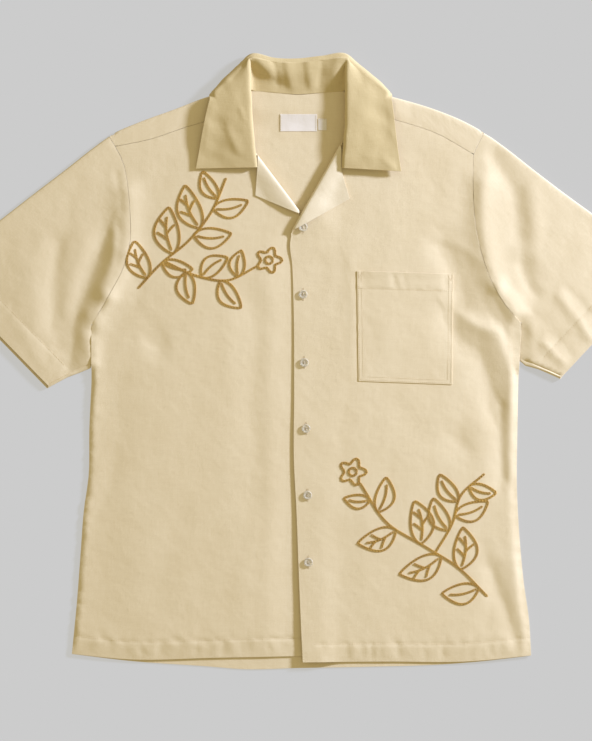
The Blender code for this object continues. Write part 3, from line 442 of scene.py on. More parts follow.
@dataclass
class Pile:
    """Heights of the cloth as it lies, layer on layer, with its folds."""

    pattern: Pattern = field(default_factory=Pattern)
    cloth: float = 1.0
    ply: float = 1.3
    rest: float = 0.5
    loft: float = 3.7
    neck_rise: float = 1.9
    neck_from: float = 298.0
    neck_to: float = 322.0
    neck_half: float = 122.0
    neck_fade: float = 24.0
    fold_fade: float = 22.0
    side_turn: Pair = Pair(4.0, 11.0)
    side_tuck: float = -6.0
    side_tuck_fade: float = 16.0
    side_tuck_share: float = 0.85
    hem_turn: float = 26.0
    hem_lift: float = 8.0
    placket_rise: Points = (
        (-386, 3.4), (-300, 2.3), (-170, 1.2), (0, 0.2), (122, -0.2), (146, 0.6), (240, 1.0),
    )
    underlap_rise: Points = (
        (-386, 0.1), (-300, 0.2), (-170, 0.4), (0, 0.6), (122, 0.8), (146, 1.0), (240, 0.8),
    )
    placket_across: Span = (56.0, 24.0)
    placket_along: Span = (216.0, 192.0)
    underlap_x: float = 20.0
    underlap_across: Span = (-45.0, -8.0)
    underlap_along: Span = (186.0, 150.0)
    shared_folds: Sequence[Crease] = creases(
        (((-221, 212), (-221, 150)), 15, 2.8), (((-225, 132), (-244, 88)), 15, 5),
        (((-248, 78), (-262, 52)), 12, 3.6),
        (((235, 226), (234, 182), (238, 142), (247, 106)), 15, 4, 1.15, 0.3),
        (((254, 90), (276, 58)), 12, 4.6), (((-241, 92), (-254, 63)), 2, -1, 1, 1),
    )
    front_folds: Sequence[Crease] = creases(
        (((182, 146), (198, 112), (208, 66)), 15, -3, 1.2, 0.7),
        (((188, 56), (196, 40), (209, 22), (227, 10), (237, -16), (245, -42), (252, -56)), 18, -3, 0.72, 1),
        (((252, 36), (264, 3), (271, -16), (275, -36), (275, -54)), 15, 2.5, 0.6, 0.8),
        (((214, 50), (228, 42), (244, 36)), 9, 1.6, 1.2, 0.6), (((281, 6), (279, -56)), 11, 0.9),
        (((253, -62), (257, -92), (258, -122), (260, -152)), 13, -2.7, 0.6, 0.8),
        (((277, -70), (276, -110), (276, -150)), 8, 1.3),
        (((246, -268), (256, -300), (268, -330), (276, -358)), 13, -2.1, 0.8, 0.6),
        (((-267, 42), (-267, 20), (-268, -2)), 11, 2.6), (((203, -96), (203, -112)), 15, -1.2),
        (((-182, 24), (-182, 12)), 15, -1.5), (((-58, 70), (-60, -178)), 20, -0.8),
        (((-264, 20), (-269, -60)), 12, 1),
        (((-238, -40), (-240, -130), (-250, -230), (-258, -320)), 24, -0.8),
    )
    sleeve_folds: Sequence[Crease] = creases(
        (((-309, 147), (-314, 46)), 13, -1.6),
        (((-246, 162), (-255, 142), (-264, 120), (-274, 94), (-282, 72), (-289, 48), (-306, 19)),
         19, -3, 0.66, 1),
        (((-291, 26), (-292, 4), (-296, -10)), 13, -1.8, 0.7, 0.9),
        (((-236, 162), (-239, 124), (-248, 98)), 12, 2.6, 0.5, 0.7),
        (((-262, 62), (-267, 40), (-269, 2)), 14, 2, 1, 0.4), (((-350, 120), (-352, 40)), 20, 0.9),
        (((247, 262), (260, 238), (273, 216), (277, 190), (280, 158)), 11, -1.7, 1.2, 0.3),
        (((286, 120), (296, 86)), 9, -1.2, 1.3), (((300, 220), (306, 130)), 15, 1.2),
        (((334, 80), (368, 30)), 7, 1), (((314, 20), (334, 0)), 7, 1),
    )
    front_creases: Sequence[Crease] = creases(
        (((180, 156), (206, 146), (226, 130)), 7, 0.7, 1, 0.4),
        (((206, 60), (222, 48), (240, 42)), 7, 0.8, 1, 0.4),
        (((258, 48), (262, 38), (270, 22)), 3, -0.55, 1, 0.5),
        (((204, 9), (214, 4), (224, 3)), 3.2, -0.35, 1, 0.5), (((242, 78), (254, 58), (268, 40)), 5, 0.6),
        (((236, -238), (246, -290), (240, -338)), 9, -0.5),
        (((268, -230), (276, -280), (274, -330)), 8, 0.5, 1.4),
        (((190, -96), (204, -104), (216, -116)), 8, -0.5),
        (((-196, 26), (-184, 18), (-172, 20)), 6, -0.6, 1.5),
        (((-204, 62), (-176, 40), (-150, 34)), 10, -0.35),
        (((-66, 96), (-54, 20), (-60, -60), (-52, -130)), 11, -0.35, 1.4),
        (((-96, 60), (-88, -20), (-94, -110)), 12, 0.25),
        (((-214, 30), (-230, -30), (-224, -96)), 12, -0.35, 1.5),
        (((-236, -120), (-246, -170), (-262, -204)), 9, -0.4),
        (((-150, -200), (-176, -250), (-186, -310)), 14, -0.3, 1.6),
        (((-60, -220), (-74, -280), (-70, -340)), 12, 0.28),
        (((60, -40), (52, -110), (62, -180)), 11, -0.3, 1.4),
        (((128, -60), (150, -96), (186, -104)), 12, -0.3),
        (((96, -190), (82, -250), (92, -320)), 13, 0.3, 1.4), (((46, 152), (52, 120), (44, 66)), 9, -0.3),
        (((64, 130), (68, 70), (66, -20)), 6, 0.35, 1.5),
        (((-176, 250), (-190, 214), (-194, 160)), 12, -0.4, 1.4),
        (((-140, 262), (-120, 224), (-126, 176)), 12, 0.3),
        (((150, 262), (168, 232), (172, 196)), 10, -0.35, 1.5),
        (((124, 236), (112, 200), (118, 160)), 12, 0.3),
        (((-204, 96), (-214, 66), (-236, 44)), 7, -0.55, 1.4),
    )
    sleeve_creases: Sequence[Crease] = creases(
        (((-234, 238), (-229, 214), (-227, 190)), 4, -0.6),
        (((-274, 150), (-286, 112), (-300, 66)), 8, 0.5, 1.3),
        (((-306, 152), (-318, 100), (-312, 40)), 6, -0.5, 1.6),
        (((-330, 160), (-342, 110), (-334, 50)), 9, 0.35),
        (((-286, 226), (-296, 190), (-292, 158)), 9, -0.4),
        (((-378, 150), (-392, 110), (-384, 70)), 10, -0.35, 1.5),
        (((-412, 128), (-416, 96), (-404, 64)), 8, 0.35), (((-352, 34), (-340, 10), (-326, -10)), 6, 0.4),
        (((-270, 60), (-276, 30), (-272, 6)), 5, 0.6), (((292, 214), (298, 176), (296, 140)), 8, 0.5, 1.3),
        (((282, 122), (292, 96), (302, 84)), 5, -0.6, 1.5),
        (((334, 82), (346, 66), (354, 52)), 4, -0.4, 1, 0.4),
        (((318, 26), (326, 16), (332, 6)), 3.5, -0.4, 1, 0.4), (((296, 60), (318, 46), (336, 22)), 6, -0.4),
        (((332, 82), (352, 58), (372, 28)), 4, 0.7, 1.4), (((342, 92), (364, 70), (382, 44)), 4, -0.5),
        (((312, 22), (326, 10), (338, -4)), 4, 0.6), (((320, 34), (338, 20), (350, 4)), 4, -0.4),
        (((322, 214), (330, 176), (324, 136)), 10, 0.4, 1.3),
        (((372, 176), (380, 140), (372, 100)), 11, -0.35, 1.5),
        (((408, 150), (414, 118), (402, 84)), 9, 0.3), (((272, 84), (288, 62), (296, 36)), 5, 0.7, 1.4),
    )

    def __post_init__(self) -> None:
        """Sample the lines that the heights are measured from, once."""
        self.seams = [self.pattern.armhole(side) for side in Side]
        self.sides = {side: self.pattern.side_seam(side) for side in Side}
        self.hems = {side: self.pattern.front_hem(side) for side in Side}

    def lower(self, x: Array, y: Array) -> Array:
        """Middle of the layer that lies on the ground, lifted over the collar's fall near the neck."""
        across = between(self.neck_half + self.neck_fade - abs(x), 0, self.neck_fade)
        return self.rest + self.neck_rise * between(y, self.neck_from, self.neck_to) * across

    def upper(self, x: Array, y: Array, own: Sequence[Crease] = (), fine: Sequence[Crease] = ()) -> Array:
        """Middle of the layer on top.

        Args:
            x: Positions across the shirt.
            y: Positions along it.
            own: Folds of this piece alone, which fade out at the armhole seams.
            fine: Finer creases of this piece, which fade out sooner.

        Returns:
            A height for each position.
        """
        points = np.stack([x, y], axis=1)
        height = self.loft + creased(points, self.shared_folds)
        if own:
            away = np.minimum(distance_to(points, self.seams[0]), distance_to(points, self.seams[1]))
            height += creased(points, own) * between(away, 0.0, self.fold_fade)
            height += creased(points, fine) * between(away, 0.0, self.fold_fade / 3)
        return self.lower(x, y) + np.maximum(height, self.ply)

    def plain_front(self, x: Array, y: Array, side: Side) -> Array:
        """Middle of a front where nothing lies under it but the back.

        Args:
            x: Positions across the shirt.
            y: Positions along it.
            side: Which front.

        Returns:
            A height for each position.
        """
        points = np.stack([x, y], axis=1)
        lowest = self.lower(x, y) + self.ply
        turn = between(distance_to(points, self.sides[side]), 0.0, self.side_turn.of(side))
        tucked = between(y, self.side_tuck - self.side_tuck_fade, self.side_tuck)
        turn = np.maximum(turn, self.side_tuck_share * tucked)
        turn *= between(distance_to(points, self.hems[side]), -self.hem_lift, self.hem_turn)
        return lowest + (self.upper(x, y, self.front_folds, self.front_creases) - lowest) * turn

    def right_front(self, x: Array, y: Array) -> Array:
        """Middle of the right front, which sinks to the back under the left one.

        Args:
            x: Positions across the shirt.
            y: Positions along it.

        Returns:
            A height for each position.
        """
        sunk = between(x, *self.underlap_across) * between(y, *self.underlap_along)
        under = self.lower(x, y) + self.ply + np.interp(y, *zip(*self.underlap_rise))
        return self.plain_front(x, y, Side.RIGHT) * (1 - sunk) + under * sunk

    def left_front(self, x: Array, y: Array) -> Array:
        """Middle of the left front, whose edge lies over the right front.

        Args:
            x: Positions across the shirt.
            y: Positions along it.

        Returns:
            A height for each position.
        """
        rise = np.interp(y, *zip(*self.placket_rise))
        over = self.right_front(np.minimum(x, self.underlap_x), y) + self.ply + rise
        near = between(x, *self.placket_across) * between(y, *self.placket_along)
        return self.plain_front(x, y, Side.LEFT) * (1 - near) + over * near

    def front(self, x: Array, y: Array, side: Side) -> Array:
        """Middle of the front on a side."""
        return self.left_front(x, y) if side is Side.LEFT else self.right_front(x, y)


def normals_of(points: Array, faces: Array) -> Array:
    """Normals at the points of a surface of triangles.

    Args:
        points: The surface's points.
        faces: Its triangles.

    Returns:
        A unit normal for each point.
    """
    a, b, c = (points[faces[:, i]] for i in range(3))
    across = np.cross(b - a, c - a)
    normals = np.zeros_like(points)
    for i in range(3):
        np.add.at(normals, faces[:, i], across)
    return unit(normals)


def doubled_areas(flat: Array, faces: Array) -> Array:
    """Twice the area of each triangle in the plane, below 0 where it faces down."""
    a, b, c = (flat[faces[:, i]] for i in range(3))
    return (b - a)[:, 0] * (c - a)[:, 1] - (b - a)[:, 1] * (c - a)[:, 0]


def filled(lines: Sequence[Array], rings: Sequence[bool], loose: Array) -> tuple[Array, Array]:
    """Triangles on lines and points in the plane.

    Args:
        lines: The lines, whose pieces all become edges of triangles. The first is the outline.
        rings: Whether each line is closed.
        loose: Points between them.

    Returns:
        The points, and the triangles, all facing up.
    """
    edges, first = [], 0
    for line, ring in zip(lines, rings):
        count = len(line)
        edges += [(first + i, first + (i + 1) % count) for i in range(count if ring else count - 1)]
        first += count
    made = delaunay_2d_cdt([tuple(p) for p in np.concatenate([*lines, loose])], edges, [], 1, 1e-4)
    flat, faces = np.array([tuple(p) for p in made[0]]), np.array(made[2])
    return flat, np.where((doubled_areas(flat, faces) < 0)[:, None], faces[:, ::-1], faces)


def rim_of(faces: Array) -> list[tuple[int, int]]:
    """Edges that only one triangle has, each as that triangle runs along it."""
    ends = {(int(a), int(b)) for face in faces for a, b in zip(face, np.roll(face, -1))}
    return [(a, b) for a, b in ends if (b, a) not in ends]


def linked(name: str, data: object) -> Thing:
    """An object of a mesh, a lamp or a camera, in the scene.

    Args:
        name: Its name.
        data: What it shows or holds.

    Returns:
        The object.
    """
    thing = bpy.data.objects.new(name, data)
    bpy.context.scene.collection.objects.link(thing)
    return thing


def mesh_piece(name: str, points: Array, faces: Sequence, finish: Finish,
               grain: Array | None = None, sharp: float = 180.0) -> Thing:
    """One object of the scene.

    Args:
        name: The object's name.
        points: Its points, in millimetres.
        faces: Its faces, as rows of point numbers.
        finish: Its material.
        grain: The place of each point on the cut cloth, along the weave, if it is cloth.
        sharp: The angle in degrees from which an edge is shaded sharp.

    Returns:
        The object, linked to the scene.
    """
    mesh = bpy.data.meshes.new(name)
    rows = [list(map(int, face)) for face in faces]
    mesh.from_pydata((np.asarray(points) * MM).tolist(), [], rows)
    mesh.shade_smooth()
    if sharp < 180.0:
        mesh.set_sharp_from_angle(angle=math.radians(sharp))
    if grain is not None:
        kept = mesh.attributes.new("grain", "FLOAT_VECTOR", "POINT")
        kept.data.foreach_set("vector", np.ascontiguousarray(grain, np.float32).ravel())
    mesh.materials.append(finish)
    return linked(name, mesh)


def shell(name: str, points: Array, normals: Array, faces: Array, low: float, high: float,
          finish: Finish, grain: Array) -> Thing:
    """A closed shell of cloth whose edges are rounded.

    Args:
        name: The object's name.
        points: Points of the surface that the shell follows.
        normals: Their normals.
        faces: Its triangles.
        low: Where the shell's underside lies along the normals.
        high: Where its face lies.
        finish: Its material.
        grain: The place of each point on the cut cloth.

    Returns:
        The object.
    """
    used, index = np.unique(faces, return_inverse=True)
    faces = index.reshape(-1, 3)
    points, normals, grain = points[used], normals[used], grain[used]
    count = len(used)
    rim = rim_of(faces)
    edge = sorted({a for pair in rim for a in pair})
    place = {a: i for i, a in enumerate(edge)}
    away = np.zeros((len(edge), 3))
    for a, b in rim:
        out = unit(np.cross(points[b] - points[a], normals[a] + normals[b]))
        away[place[a]] += out
        away[place[b]] += out
    inset = EDGE_INSET * (high - low) * unit(away)
    top, base = points + high * normals, points + low * normals
    bulge = points[edge] + (low + high) / 2 * normals[edge]
    top[edge] -= inset
    base[edge] -= inset
    solid = [*faces, *(faces[:, ::-1] + count)]
    for a, b in rim:
        ma, mb = 2 * count + place[a], 2 * count + place[b]
        solid += [(b, a, ma, mb), (mb, ma, a + count, b + count)]
    grains = np.concatenate([grain, grain, grain[edge]])
    return mesh_piece(name, np.concatenate([top, base, bulge]), solid, finish, grains, SHARP_FROM)


class Panel:
    """A cut piece of cloth: triangles in its flat outline, and the place of each of its points."""

    def __init__(self, outline: Array, step: float, place: Callable[[Array], Array],
                 rows: Sequence[Array] = (), patches: Sequence[Array] = (),
                 fine: Callable[[Array], Array] | None = None, turn: float = 0.0) -> None:
        """Fill an outline with points and lay the piece out.

        Args:
            outline: The cut piece's edge.
            step: The distance between its points where they are close.
            place: Gives the places of points of the cut piece.
            rows: Lines that points lie along.
            patches: Closed lines that points lie along.
            fine: Says which points lie where the cloth needs close points. Elsewhere they are 4 steps apart.
            turn: The angle of the weave to the piece's own Y.
        """
        self.place = place
        fixed = [outline, *rows, *patches]
        rings = [i == 0 or i > len(rows) for i in range(len(fixed))]
        self.flat, self.faces = filled(fixed, rings, self.lattice(outline, step, fixed, fine))
        self.area = float(abs(doubled_areas(self.flat, self.faces)).sum()) / 2 * MM * MM
        self.points = place(self.flat)
        self.normals = normals_of(self.points, self.faces)
        c, s = math.cos(turn), math.sin(turn)
        self.grain = np.column_stack([self.flat @ (c, s), self.flat @ (-s, c), np.zeros(len(self.flat))])

    @staticmethod
    def lattice(outline: Array, step: float, fixed: Sequence[Array], fine: Callable | None) -> Array:
        """Points inside an outline.

        Args:
            outline: The edge that they stay inside.
            step: The distance between neighbours.
            fixed: Lines that they stay clear of.
            fine: Says where they are a step apart, and not 4.

        Returns:
            The points, on a triangular lattice.
        """
        rise = step * math.sqrt(3) / 2
        low, high = outline.min(axis=0), outline.max(axis=0)
        rows, columns = int((high[1] - low[1]) / rise) + 1, int((high[0] - low[0]) / step) + 2
        row, column = (grid.ravel() for grid in np.mgrid[0:rows, 0:columns])
        points = np.stack([low[0] + (column + 0.5 * (row % 2)) * step, low[1] + row * rise], axis=1)
        keep = is_inside(points, outline)
        points, row, column = points[keep], row[keep], column[keep]
        close = np.ones(len(points), bool) if fine is None else fine(points)
        wide = ((row % 8 == 0) & (column % 4 == 0)) | ((row % 8 == 4) & (column % 4 == 2))
        points, close = points[close | wide], close[close | wide]
        room = np.where(close, step, 4 * step) * 0.5
        away = np.full(len(points), np.inf)
        for i, line in enumerate(fixed):
            away = np.minimum(away, distance_to(points, closed(line) if i == 0 else line))
        return points[away > room]

    def shell(self, name: str, finish: Finish, low: float, high: float,
              keep: Callable | None = None) -> Thing:
        """A shell on the panel.

        Args:
            name: The object's name.
            finish: Its material.
            low: Where its underside lies along the normals.
            high: Where its face lies.
            keep: Says which triangles to keep, by their middles, if not all.

        Returns:
            The object.
        """
        faces = self.faces
        if keep is not None:
            faces = faces[keep(self.flat[faces].mean(axis=1))]
        return shell(name, self.points, self.normals, faces, low, high, finish, self.grain)

    def seat(self, flat: Array, lift: float) -> tuple[Array, Array]:
        """Where something sits on the cloth.

        Args:
            flat: Points of the cut piece.
            lift: How far out from the middle of the cloth.

        Returns:
            The places, and the cloth's normals there.
        """
        step, here = 0.4, self.place(flat)
        along_x, along_y = (self.place(flat + way) - here for way in ((step, 0.0), (0.0, step)))
        normals = unit(np.cross(along_x, along_y))
        return here + lift * normals, normals


def clear_of(row: Array, outline: Array, room: float = 1.2) -> Array:
    """The points of a row that lie well inside an outline."""
    return row[is_inside(row, outline) & (distance_to(row, closed(outline)) > room)]


def patch_line(corners: Points, step: float) -> Array:
    """Closed outline of a patch, with points along its edges."""
    ring = [*corners, corners[0]]
    return joined(*(curve([a, b], step) for a, b in zip(ring[:-1], ring[1:])))


class Seam(NamedTuple):
    """A line of sewing that draws the cloth in."""

    line: Array
    depth: float
    width: float
    pucker: float
    seed: int

    def heights(self, points: Array) -> Array:
        """Height that the seam adds at each point: a groove along it, and puckers beside it.

        Args:
            points: Places on the cloth.

        Returns:
            The height at each place.
        """
        away = distance_to(points, self.line)
        x, y = points.T
        groove = self.depth * np.exp(-((away / self.width) ** 2)) * (1 + 0.35 * noise(x, y, 11, self.seed))
        swell = self.pucker * noise(x, y, 17, self.seed + 50) * np.exp(-((away / 8.0) ** 2))
        return swell - groove


def stitch_axes(starts: Array, ends: Array, normals: Array) -> tuple[Array, Array, Array]:
    """The directions ahead, across and up at each of many short threads.

    Args:
        starts: Where each begins.
        ends: Where each ends.
        normals: The way up at each.

    Returns:
        The three unit directions of each.
    """
    ahead = unit(ends - starts)
    across = unit(np.cross(normals, ahead))
    return ahead, across, np.cross(ahead, across)


def ring_round(middle: Array, girth: float, aside: Array, up: Array, sides: int) -> list[Array]:
    """Points round one section of every thread, side by side."""
    turns = [math.tau * side / sides for side in range(sides)]
    return [middle + girth * (math.cos(turn) * aside + math.sin(turn) * up) for turn in turns]


def tubes(rings: Sequence[Array], sides: int, looped: bool) -> tuple[Array, Array, Array]:
    """Tubes through rings of points.

    Args:
        rings: Points round the sections, one section after another, each for all the tubes.
        sides: How many points a section has.
        looped: Whether the last section joins the first.

    Returns:
        The points of all the tubes, their faces, and the first point of each.
    """
    rows = len(rings) // sides
    faces = []
    for row in range(rows if looped else rows - 1):
        near, far = row * sides, (row + 1) % rows * sides
        for side in range(sides):
            beside = (side + 1) % sides
            faces.append((near + side, near + beside, far + beside, far + side))
    firsts = np.arange(len(rings[0])) * rows * sides
    points = np.stack(rings, axis=1).reshape(-1, 3)
    return points, (np.array(faces)[None] + firsts[:, None, None]).reshape(-1, 4), firsts


def thread_runs(starts: Array, ends: Array, normals: Array, radius: float, bow: float
                ) -> tuple[Array, list]:
    """Short threads, each a rounded rod that bows up between its ends.

    Args:
        starts: Where each begins.
        ends: Where each ends.
        normals: The way up at each.
        radius: The thread's radius.
        bow: How far its middle rises over its ends.

    Returns:
        The points and the faces of all the rods.
    """
    sides = 6
    _, across, up = stitch_axes(starts, ends, normals)
    rings = []
    for share, girth in ((0.0, 0.25), (0.1, 0.8), (0.32, 1.0), (0.68, 1.0), (0.9, 0.8), (1.0, 0.25)):
        middle = starts + (ends - starts) * share + up * bow * math.sin(math.pi * share)
        rings += ring_round(middle, radius * girth, across, up, sides)
    points, quads, firsts = tubes(rings, sides, False)
    last = len(rings) - sides
    caps = [tuple(range(sides))[::-1], tuple(range(last, last + sides))]
    return points, [*quads, *(tuple(int(first) + i for i in cap) for first in firsts for cap in caps)]


def looped_threads(feet: Array, tips: Array, normals: Array, half: float, radius: float
                   ) -> tuple[Array, Array]:
    """Links of chain stitch, each a drop-shaped loop of thread whose tip is held by the next.

    Args:
        feet: Where each link begins.
        tips: Where each link ends.
        normals: The way up at each.
        half: Half the width of a link.
        radius: The thread's radius.

    Returns:
        The points and the faces of all the links.
    """
    stations, sides = 12, 5
    run = tips - feet
    length = np.linalg.norm(run, axis=1)[:, None]
    ahead, across, up = stitch_axes(feet, tips, normals)
    turn = np.arange(stations) / stations * math.tau
    forward = 0.5 - 0.56 * np.cos(turn)
    aside = np.sin(turn) * (0.62 + 0.38 * forward) * half
    lift = radius * 0.75 * (0.5 - 0.5 * np.cos(turn)) ** 2
    rings = []
    for i in range(stations):
        after, before = (i + 1) % stations, i - 1
        slope_ahead = (forward[after] - forward[before]) * length
        out = unit(slope_ahead * across - (aside[after] - aside[before]) * ahead)
        middle = feet + run * forward[i] + across * aside[i] + up * lift[i]
        rings += ring_round(middle, radius, out, up, sides)
    points, faces, _ = tubes(rings, sides, True)
    return points, faces


def even_points(line: Array, pitch: float) -> Array:
    """Points a pitch apart on a line of straight pieces.

    Args:
        line: The line.
        pitch: About how far apart the points are to be.

    Returns:
        The points.
    """
    along = chord_lengths(line)
    count = max(2, round(along[-1] / pitch) + 1)
    at = np.linspace(0.0, along[-1], count)
    return np.stack([np.interp(at, along, line[:, i]) for i in range(line.shape[1])], axis=1)


@dataclass
class Sewing:
    """Lines of stitches on a piece, gathered into one object."""

    name: str
    finish: Finish
    pitch: float = 3.0
    gap: float = 0.28
    radius: float = 0.24
    bow: float = 0.16
    parts: list = field(default_factory=list)

    def run(self, seat: Callable[[Array, float], tuple[Array, Array]], line: Array, lift: float) -> None:
        """Sew along a line.

        Args:
            seat: Gives places and normals on the cloth for flat points.
            line: The line on the cut piece.
            lift: How far the thread lies out from the middle of the cloth.
        """
        marks = even_points(line, self.pitch)
        step = np.diff(marks, axis=0)
        starts, normals = seat(marks[:-1] + step * self.gap / 2, lift)
        ends, _ = seat(marks[1:] - step * self.gap / 2, lift)
        self.parts.append(thread_runs(starts, ends, normals, self.radius, self.bow))

    def make(self) -> Thing:
        """The stitches as one object."""
        points, faces, first = [], [], 0
        for part_points, part_faces in self.parts:
            points.append(part_points)
            faces += [tuple(int(i) + first for i in face) for face in part_faces]
            first += len(part_points)
        return mesh_piece(self.name, np.concatenate(points), faces, self.finish)


@dataclass
class Body:
    """The back and the two fronts with their facings, the pocket and the labels."""

    pile: Pile
    cloth: Finish
    facing_cloth: Finish
    tape: Finish
    half: float = 0.45
    pocket_half: float = 0.4
    ply: float = 1.0
    edge_roll: float = 1.85
    lapel_radius: float = 2.05
    lapel_settle: float = 2.9
    lapel_settle_over: Span = (2.0, 26.0)
    lapel_rumple: Swell = Swell(0.22, 34, 3)
    lapel_rumple_over: Span = (4.0, 20.0)
    lying_over: Span = (2.0, -6.0)
    roll_bend: float = 1.2
    roll_reach: Span = (-34.0, 112.0)
    row_past_roll: float = 9.0
    turn_rows: int = 7
    facing_inside: float = 3.0
    facing_feet: Pair = Pair(184.0, 151.0)
    back_step: float = 5.0
    front_step: float = 4.2
    edge_step: float = 4.0
    hem_band: float = 23.0
    hem_line_ends: Span = (0.6, 1.5)
    hem_step: float = 0.3
    hem_pucker: Swell = Swell(0.22, 26, 41)
    bent_from: Span = (30.0, 20.0)
    bent_to: Span = (1.0, 9.0)
    shoulder_seam_draw: tuple[float, float, float] = (0.2, 1.2, 0.1)
    back_swell: Swell = Swell(0.3, 46, 5)
    back_swell_along: Span = (270.0, 290.0)
    back_swell_across: Span = (84.0, 66.0)
    rumple: Swell = Swell(0.1, 58, 8)
    underarm_lap: float = 0.8
    lap_above: Span = (-30.0, 0.0)
    lap_below: Span = (46.0, 34.0)
    opening_half: float = 80.0
    opening_from: float = 236.0
    shoulder_reach: Span = (68.0, 236.0)
    shoulder_column: float = 4.5
    hem_dents: Sequence[Crease] = creases(
        (((92, -356), (91, -368), (92, -382)), 2.2, -0.9, 2.2), (((97, -360), (98, -378)), 3, 0.5),
        (((126, -357), (124, -368), (127, -382)), 2.4, -0.6, 1.8),
        (((158, -358), (160, -380)), 2.8, -0.55, 1.6),
        (((185, -357), (182, -366), (183, -380)), 2.2, -0.65, 1.8),
        (((216, -356), (219, -380)), 3.2, -0.5, 1.5),
        (((246, -354), (243, -366), (245, -378)), 2.4, -0.65, 1.8), (((60, -358), (62, -380)), 3.4, -0.35),
        (((-203, -353), (-205, -364), (-202, -378)), 2.6, -0.6, 1.8),
        (((-178, -354), (-180, -376)), 3, -0.5, 1.6),
        (((-134, -353), (-131, -362), (-134, -377)), 2.4, -0.65, 1.8),
        (((-97, -352), (-99, -375)), 3.2, -0.5, 1.5), (((-66, -352), (-64, -374)), 2.8, -0.4),
        (((-40, -350), (-42, -362), (-39, -374)), 2.4, -0.6, 1.8),
        (((-240, -352), (-243, -374)), 3.6, -0.4, 1.4),
    )
    pocket_corners: Points = ((73.6, 113.9), (75.5, -26.9), (195.2, -31.4), (196.5, 110.1))
    pocket_band: float = 22.0
    pocket_row: float = 2.4
    pocket_step: float = 3.0
    band_line_end: float = 1.2
    mouth_gape: float = 0.5
    pocket_insets: tuple[float, float] = (1.6, 5.6)
    pocket_dents: Sequence[Crease] = creases(
        (((119, 108), (121, 99), (124, 87)), 2.6, -0.55, 1.4), (((134, 107), (136, 92)), 4, -0.35),
        (((80, 108), (83, 97), (79, 84)), 4, -0.4, 1.5), (((162, 92), (176, 84), (190, 83)), 3, -0.45),
        (((186, 104), (187, 88)), 2.2, -0.6, 1.4), (((132, -19), (146, -23), (160, -28)), 3, -0.4, 1.5),
        (((178, -14), (186, -22)), 4, -0.4), (((88, -20), (100, -23)), 3, -0.3),
        (((104, 66), (110, 20)), 12, 0.25, 1.4), (((172, 60), (166, 10)), 10, -0.25, 1.5),
    )
    label_corners: Points = ((-25, 314.6), (-25, 292.6), (22.4, 292.6), (22.4, 314.6))
    tab_corners: Points = ((23.9, 308.9), (23.9, 294.1), (34.6, 294.1), (34.6, 308.9))

    def __post_init__(self) -> None:
        """Sample the lines that the places are measured from."""
        self.pattern = self.pile.pattern
        self.shoulder = self.pattern.shoulder()
        self.over = math.pi * self.edge_roll
        self.panels: dict[str, Panel] = {}
        self.hem_lines = {side: self.hem_line(side) for side in Side}
        self.seams = {side: self.front_seams(side) for side in Side}

    def hem_line(self, side: Side) -> Array:
        """Stitch line of a front's hem, a band's width above its edge.

        Args:
            side: Which front.

        Returns:
            The line, from right to left of the wearer.
        """
        line = self.pile.hems[side]
        line = line if line[0, 0] < line[-1, 0] else line[::-1]
        above = moved_aside(line, self.hem_band)
        first, last = self.hem_line_ends
        return above[(above[:, 0] > line[0, 0] + first) & (above[:, 0] < line[-1, 0] - last)]

    def front_seams(self, side: Side) -> list[Seam]:
        """The lines that draw a front in: hem, armhole, shoulder and side."""
        seed = 10 if side is Side.LEFT else 30
        return [
            Seam(self.hem_lines[side], 0.45, 1.5, 0.3, seed),
            Seam(self.pattern.armhole_split(side)[1], 0.15, 1.2, 0.1, seed + 1),
            Seam(self.pattern.shoulder_seam(side), *self.shoulder_seam_draw, seed + 2),
            Seam(self.pile.sides[side], 0.0, 1.5, 0.4, seed + 3),
        ]

    def fold_start(self, x: Array) -> Array:
        """Where the back begins to turn over the shoulder."""
        return np.interp(x, *self.shoulder.T) - self.edge_roll - self.pile.cloth / 2

    def place_back(self, flat: Array) -> Array:
        """Places of the back's points, with the part past the shoulder line turned over to the front.

        Args:
            flat: Points of the cut piece.

        Returns:
            Where each lies.
        """
        x, start = flat[:, 0], self.fold_start(flat[:, 0])
        past = flat[:, 1] - start
        angle = np.clip(past / self.edge_roll, 0.0, math.pi)
        beyond = np.maximum(past - self.over, 0.0)
        y = np.where(past < 0, flat[:, 1], start + self.edge_roll * np.sin(angle) - beyond)
        low, high = self.pile.lower(x, y), self.pile.upper(x, y)
        swell = np.maximum(self.back_swell.heights(x, y), 0.0)
        swell *= between(y, *self.back_swell_along) * between(abs(x), *self.back_swell_across)
        height = low + swell + (high - low - swell) * (1 - np.cos(angle)) / 2
        over = np.stack([x, y], axis=1)
        for side in Side:
            height += np.where(beyond > 0, self.seams[side][2].heights(over), 0.0)
        return np.column_stack([x, y, height])

    def roll_axes(self, side: Side) -> tuple[Array, Array, Array, float]:
        """Start, direction, normal to the neck opening and length of a lapel's roll line.

        Args:
            side: Which lapel.

        Returns:
            The start, the direction, the normal and the length.
        """
        start, end = np.array(self.pattern.lapel_rolls.of(side)).reshape(2, 2)
        run = unit(end - start)
        return start, run, left_of(run) * side.value, float(np.linalg.norm(end - start))

    def past_roll(self, flat: Array, side: Side) -> Array:
        """How far points of a front's cut piece lie past the roll line, which bends away above its end.

        Args:
            flat: Points of the cut piece.
            side: Which front.

        Returns:
            The distances, below 0 on the front's own side.
        """
        start, run, normal, length = self.roll_axes(side)
        above = np.maximum((flat - start) @ run - length, 0.0)
        return (flat - start) @ normal - self.roll_bend * above

